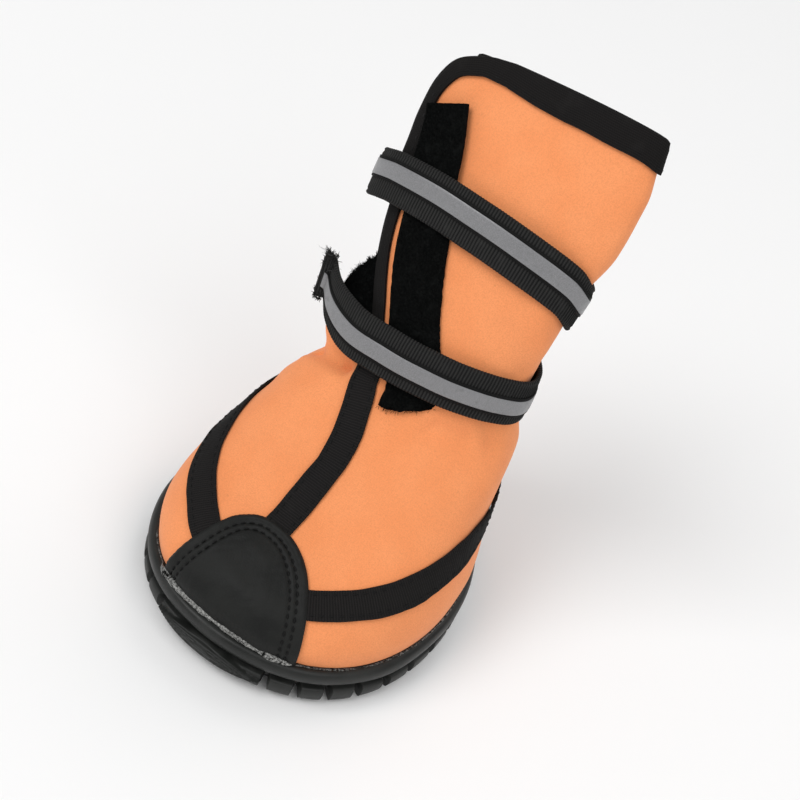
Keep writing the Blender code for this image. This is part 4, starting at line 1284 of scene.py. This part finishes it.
# Name, place in metres, power and size of each light
LIGHTS = (
    ("key_light", (-0.55, -0.75, 1.15), 10.5, 0.8),
    ("fill_light", (0.85, -0.45, 0.95), 5.0, 1.0),
    ("back_light", (0.1, 0.95, 1.05), 4.5, 1.0),
)
SKY_STRENGTH = 0.40


def placed(name, data):
    obj = bpy.data.objects.new(name, data)
    bpy.context.scene.collection.objects.link(obj)
    return obj


def build_stage(lens, backdrop):
    scene = bpy.context.scene
    mesh = bpy.data.meshes.new("floor")
    mesh.from_pydata([(-3, -3, 0), (3, -3, 0), (3, 3, 0), (-3, 3, 0)], [], [(0, 1, 2, 3)])
    made = Finish("floor_paper", backdrop, 0.9)
    made.paint(backdrop, (made.noise(60.0, 2.0) * 0.3, shade(backdrop, 0.985)))
    mesh.materials.append(made.material)
    placed("floor", mesh)
    for name, place, power, size in LIGHTS:
        light = bpy.data.lights.new(name, "AREA")
        light.energy = power
        light.size = size
        lamp = placed(name, light)
        lamp.location = place
        lamp.rotation_euler = (Vector(LIGHTS_AIM) - lamp.location).to_track_quat("-Z", "Y").to_euler()
    world = bpy.data.worlds.new("studio")
    world.use_nodes = True
    world.node_tree.nodes["Background"].inputs["Color"].default_value = (1, 1, 1, 1)
    world.node_tree.nodes["Background"].inputs["Strength"].default_value = SKY_STRENGTH
    scene.world = world
    scene.view_settings.view_transform = "Standard"
    azimuth, elevation, roll = (math.radians(turn) for turn in VIEW_TURNS)
    right = Vector((math.cos(azimuth), math.sin(azimuth), 0))
    level = Vector((math.sin(azimuth), -math.cos(azimuth), 0))
    back = level * math.cos(elevation) + Vector((0, 0, math.sin(elevation)))
    up = back.cross(right)
    rolled_right = right * math.cos(roll) + up * math.sin(roll)
    rolled_up = up * math.cos(roll) - right * math.sin(roll)
    place = back * VIEW_DISTANCE
    back = (place - rolled_right * VIEW_TARGET[0] - rolled_up * VIEW_TARGET[1]).normalized()
    right = rolled_up.cross(back).normalized()
    camera = bpy.data.cameras.new("camera")
    camera.lens = lens
    camera.clip_start = 0.01
    view = placed("camera", camera)
    basis = Matrix((right, back.cross(right), back)).transposed().to_4x4()
    basis.translation = place
    view.matrix_world = basis
    scene.camera = view


# Add-on


def colour_property(name, description, default):
    return bpy.props.FloatVectorProperty(name=name, description=description, subtype="COLOR", size=3, default=default)


class BootColours(bpy.types.PropertyGroup):
    """Colours of the boot that a user would change."""

    cloth: colour_property("Cloth", "Colour of the upper's cloth", (0.93, 0.32, 0.12))
    stripe: colour_property("Stripe", "Colour of the reflective stripes", (0.26, 0.26, 0.268))


class BootStage(bpy.types.PropertyGroup):
    """Camera and floor."""

    lens: bpy.props.FloatProperty(
        name="Lens", description="Focal length of the camera", subtype="DISTANCE_CAMERA", default=72.0
    )
    backdrop: colour_property("Floor", "Colour of the floor", (0.94, 0.94, 0.94))


class Builder:
    """What the operators share: each one builds its pieces in the scene."""

    def execute(self, context):
        self.build(context.scene)
        return {"FINISHED"}


class BOOT_OT_upper(Builder, bpy.types.Operator):
    """Builds the creased cloth upper with its lining"""

    bl_idname = "boot.upper"
    bl_label = "Upper"

    def build(self, scene):
        build_upper(tuple(scene.boot_colours.cloth))


class BOOT_OT_sole(Builder, bpy.types.Operator):
    """Builds the rubber sole with its glue line and dresses the insole"""

    bl_idname = "boot.sole"
    bl_label = "Sole"

    def build(self, scene):
        build_outsole()
        build_residue()
        dress_insole()


class BOOT_OT_toe_cap(Builder, bpy.types.Operator):
    """Builds the coated toe patch and its stitches"""

    bl_idname = "boot.toe_cap"
    bl_label = "Toe cap"

    def build(self, scene):
        build_toe_cap()


class BOOT_OT_tapes(Builder, bpy.types.Operator):
    """Builds the seam tapes and the collar's binding"""

    bl_idname = "boot.tapes"
    bl_label = "Tapes and binding"

    def build(self, scene):
        build_tapes()
        build_binding()


class BOOT_OT_straps(Builder, bpy.types.Operator):
    """Builds the loop strip, the webbing straps, their stripes and their hook pads"""

    bl_idname = "boot.straps"
    bl_label = "Straps"

    def build(self, scene):
        build_loop_strip()
        for key in STRAPS:
            build_strap(key)
        build_upper_pad()
        build_lower_pad()


class BOOT_OT_stage(Builder, bpy.types.Operator):
    """Builds the floor, the lights and the camera"""

    bl_idname = "boot.stage"
    bl_label = "Stage"

    def build(self, scene):
        build_stage(scene.boot_stage.lens, tuple(scene.boot_stage.backdrop))


OPERATORS = (BOOT_OT_stage, BOOT_OT_upper, BOOT_OT_sole, BOOT_OT_toe_cap, BOOT_OT_tapes, BOOT_OT_straps)


class BOOT_PT_panel(bpy.types.Panel):
    """Lists the boot's operators"""

    bl_idname = "BOOT_PT_panel"
    bl_label = "Dog boot"
    bl_space_type = "VIEW_3D"
    bl_region_type = "UI"
    bl_category = "Boot"

    def draw(self, context):
        for prop in ("cloth", "stripe"):
            self.layout.prop(context.scene.boot_colours, prop)
        for prop in ("lens", "backdrop"):
            self.layout.prop(context.scene.boot_stage, prop)
        for operator in OPERATORS:
            self.layout.operator(operator.bl_idname)


CLASSES = (BootColours, BootStage, *OPERATORS, BOOT_PT_panel)


def register():
    for cls in CLASSES:
        bpy.utils.register_class(cls)
    bpy.types.Scene.boot_colours = bpy.props.PointerProperty(type=BootColours)
    bpy.types.Scene.boot_stage = bpy.props.PointerProperty(type=BootStage)


def unregister():
    del bpy.types.Scene.boot_stage
    del bpy.types.Scene.boot_colours
    for cls in reversed(CLASSES):
        bpy.utils.unregister_class(cls)


def main():
    register()
    for operator in OPERATORS:
        group, name = operator.bl_idname.split(".")
        getattr(getattr(bpy.ops, group), name)()


if __name__ == "__main__":
    main()
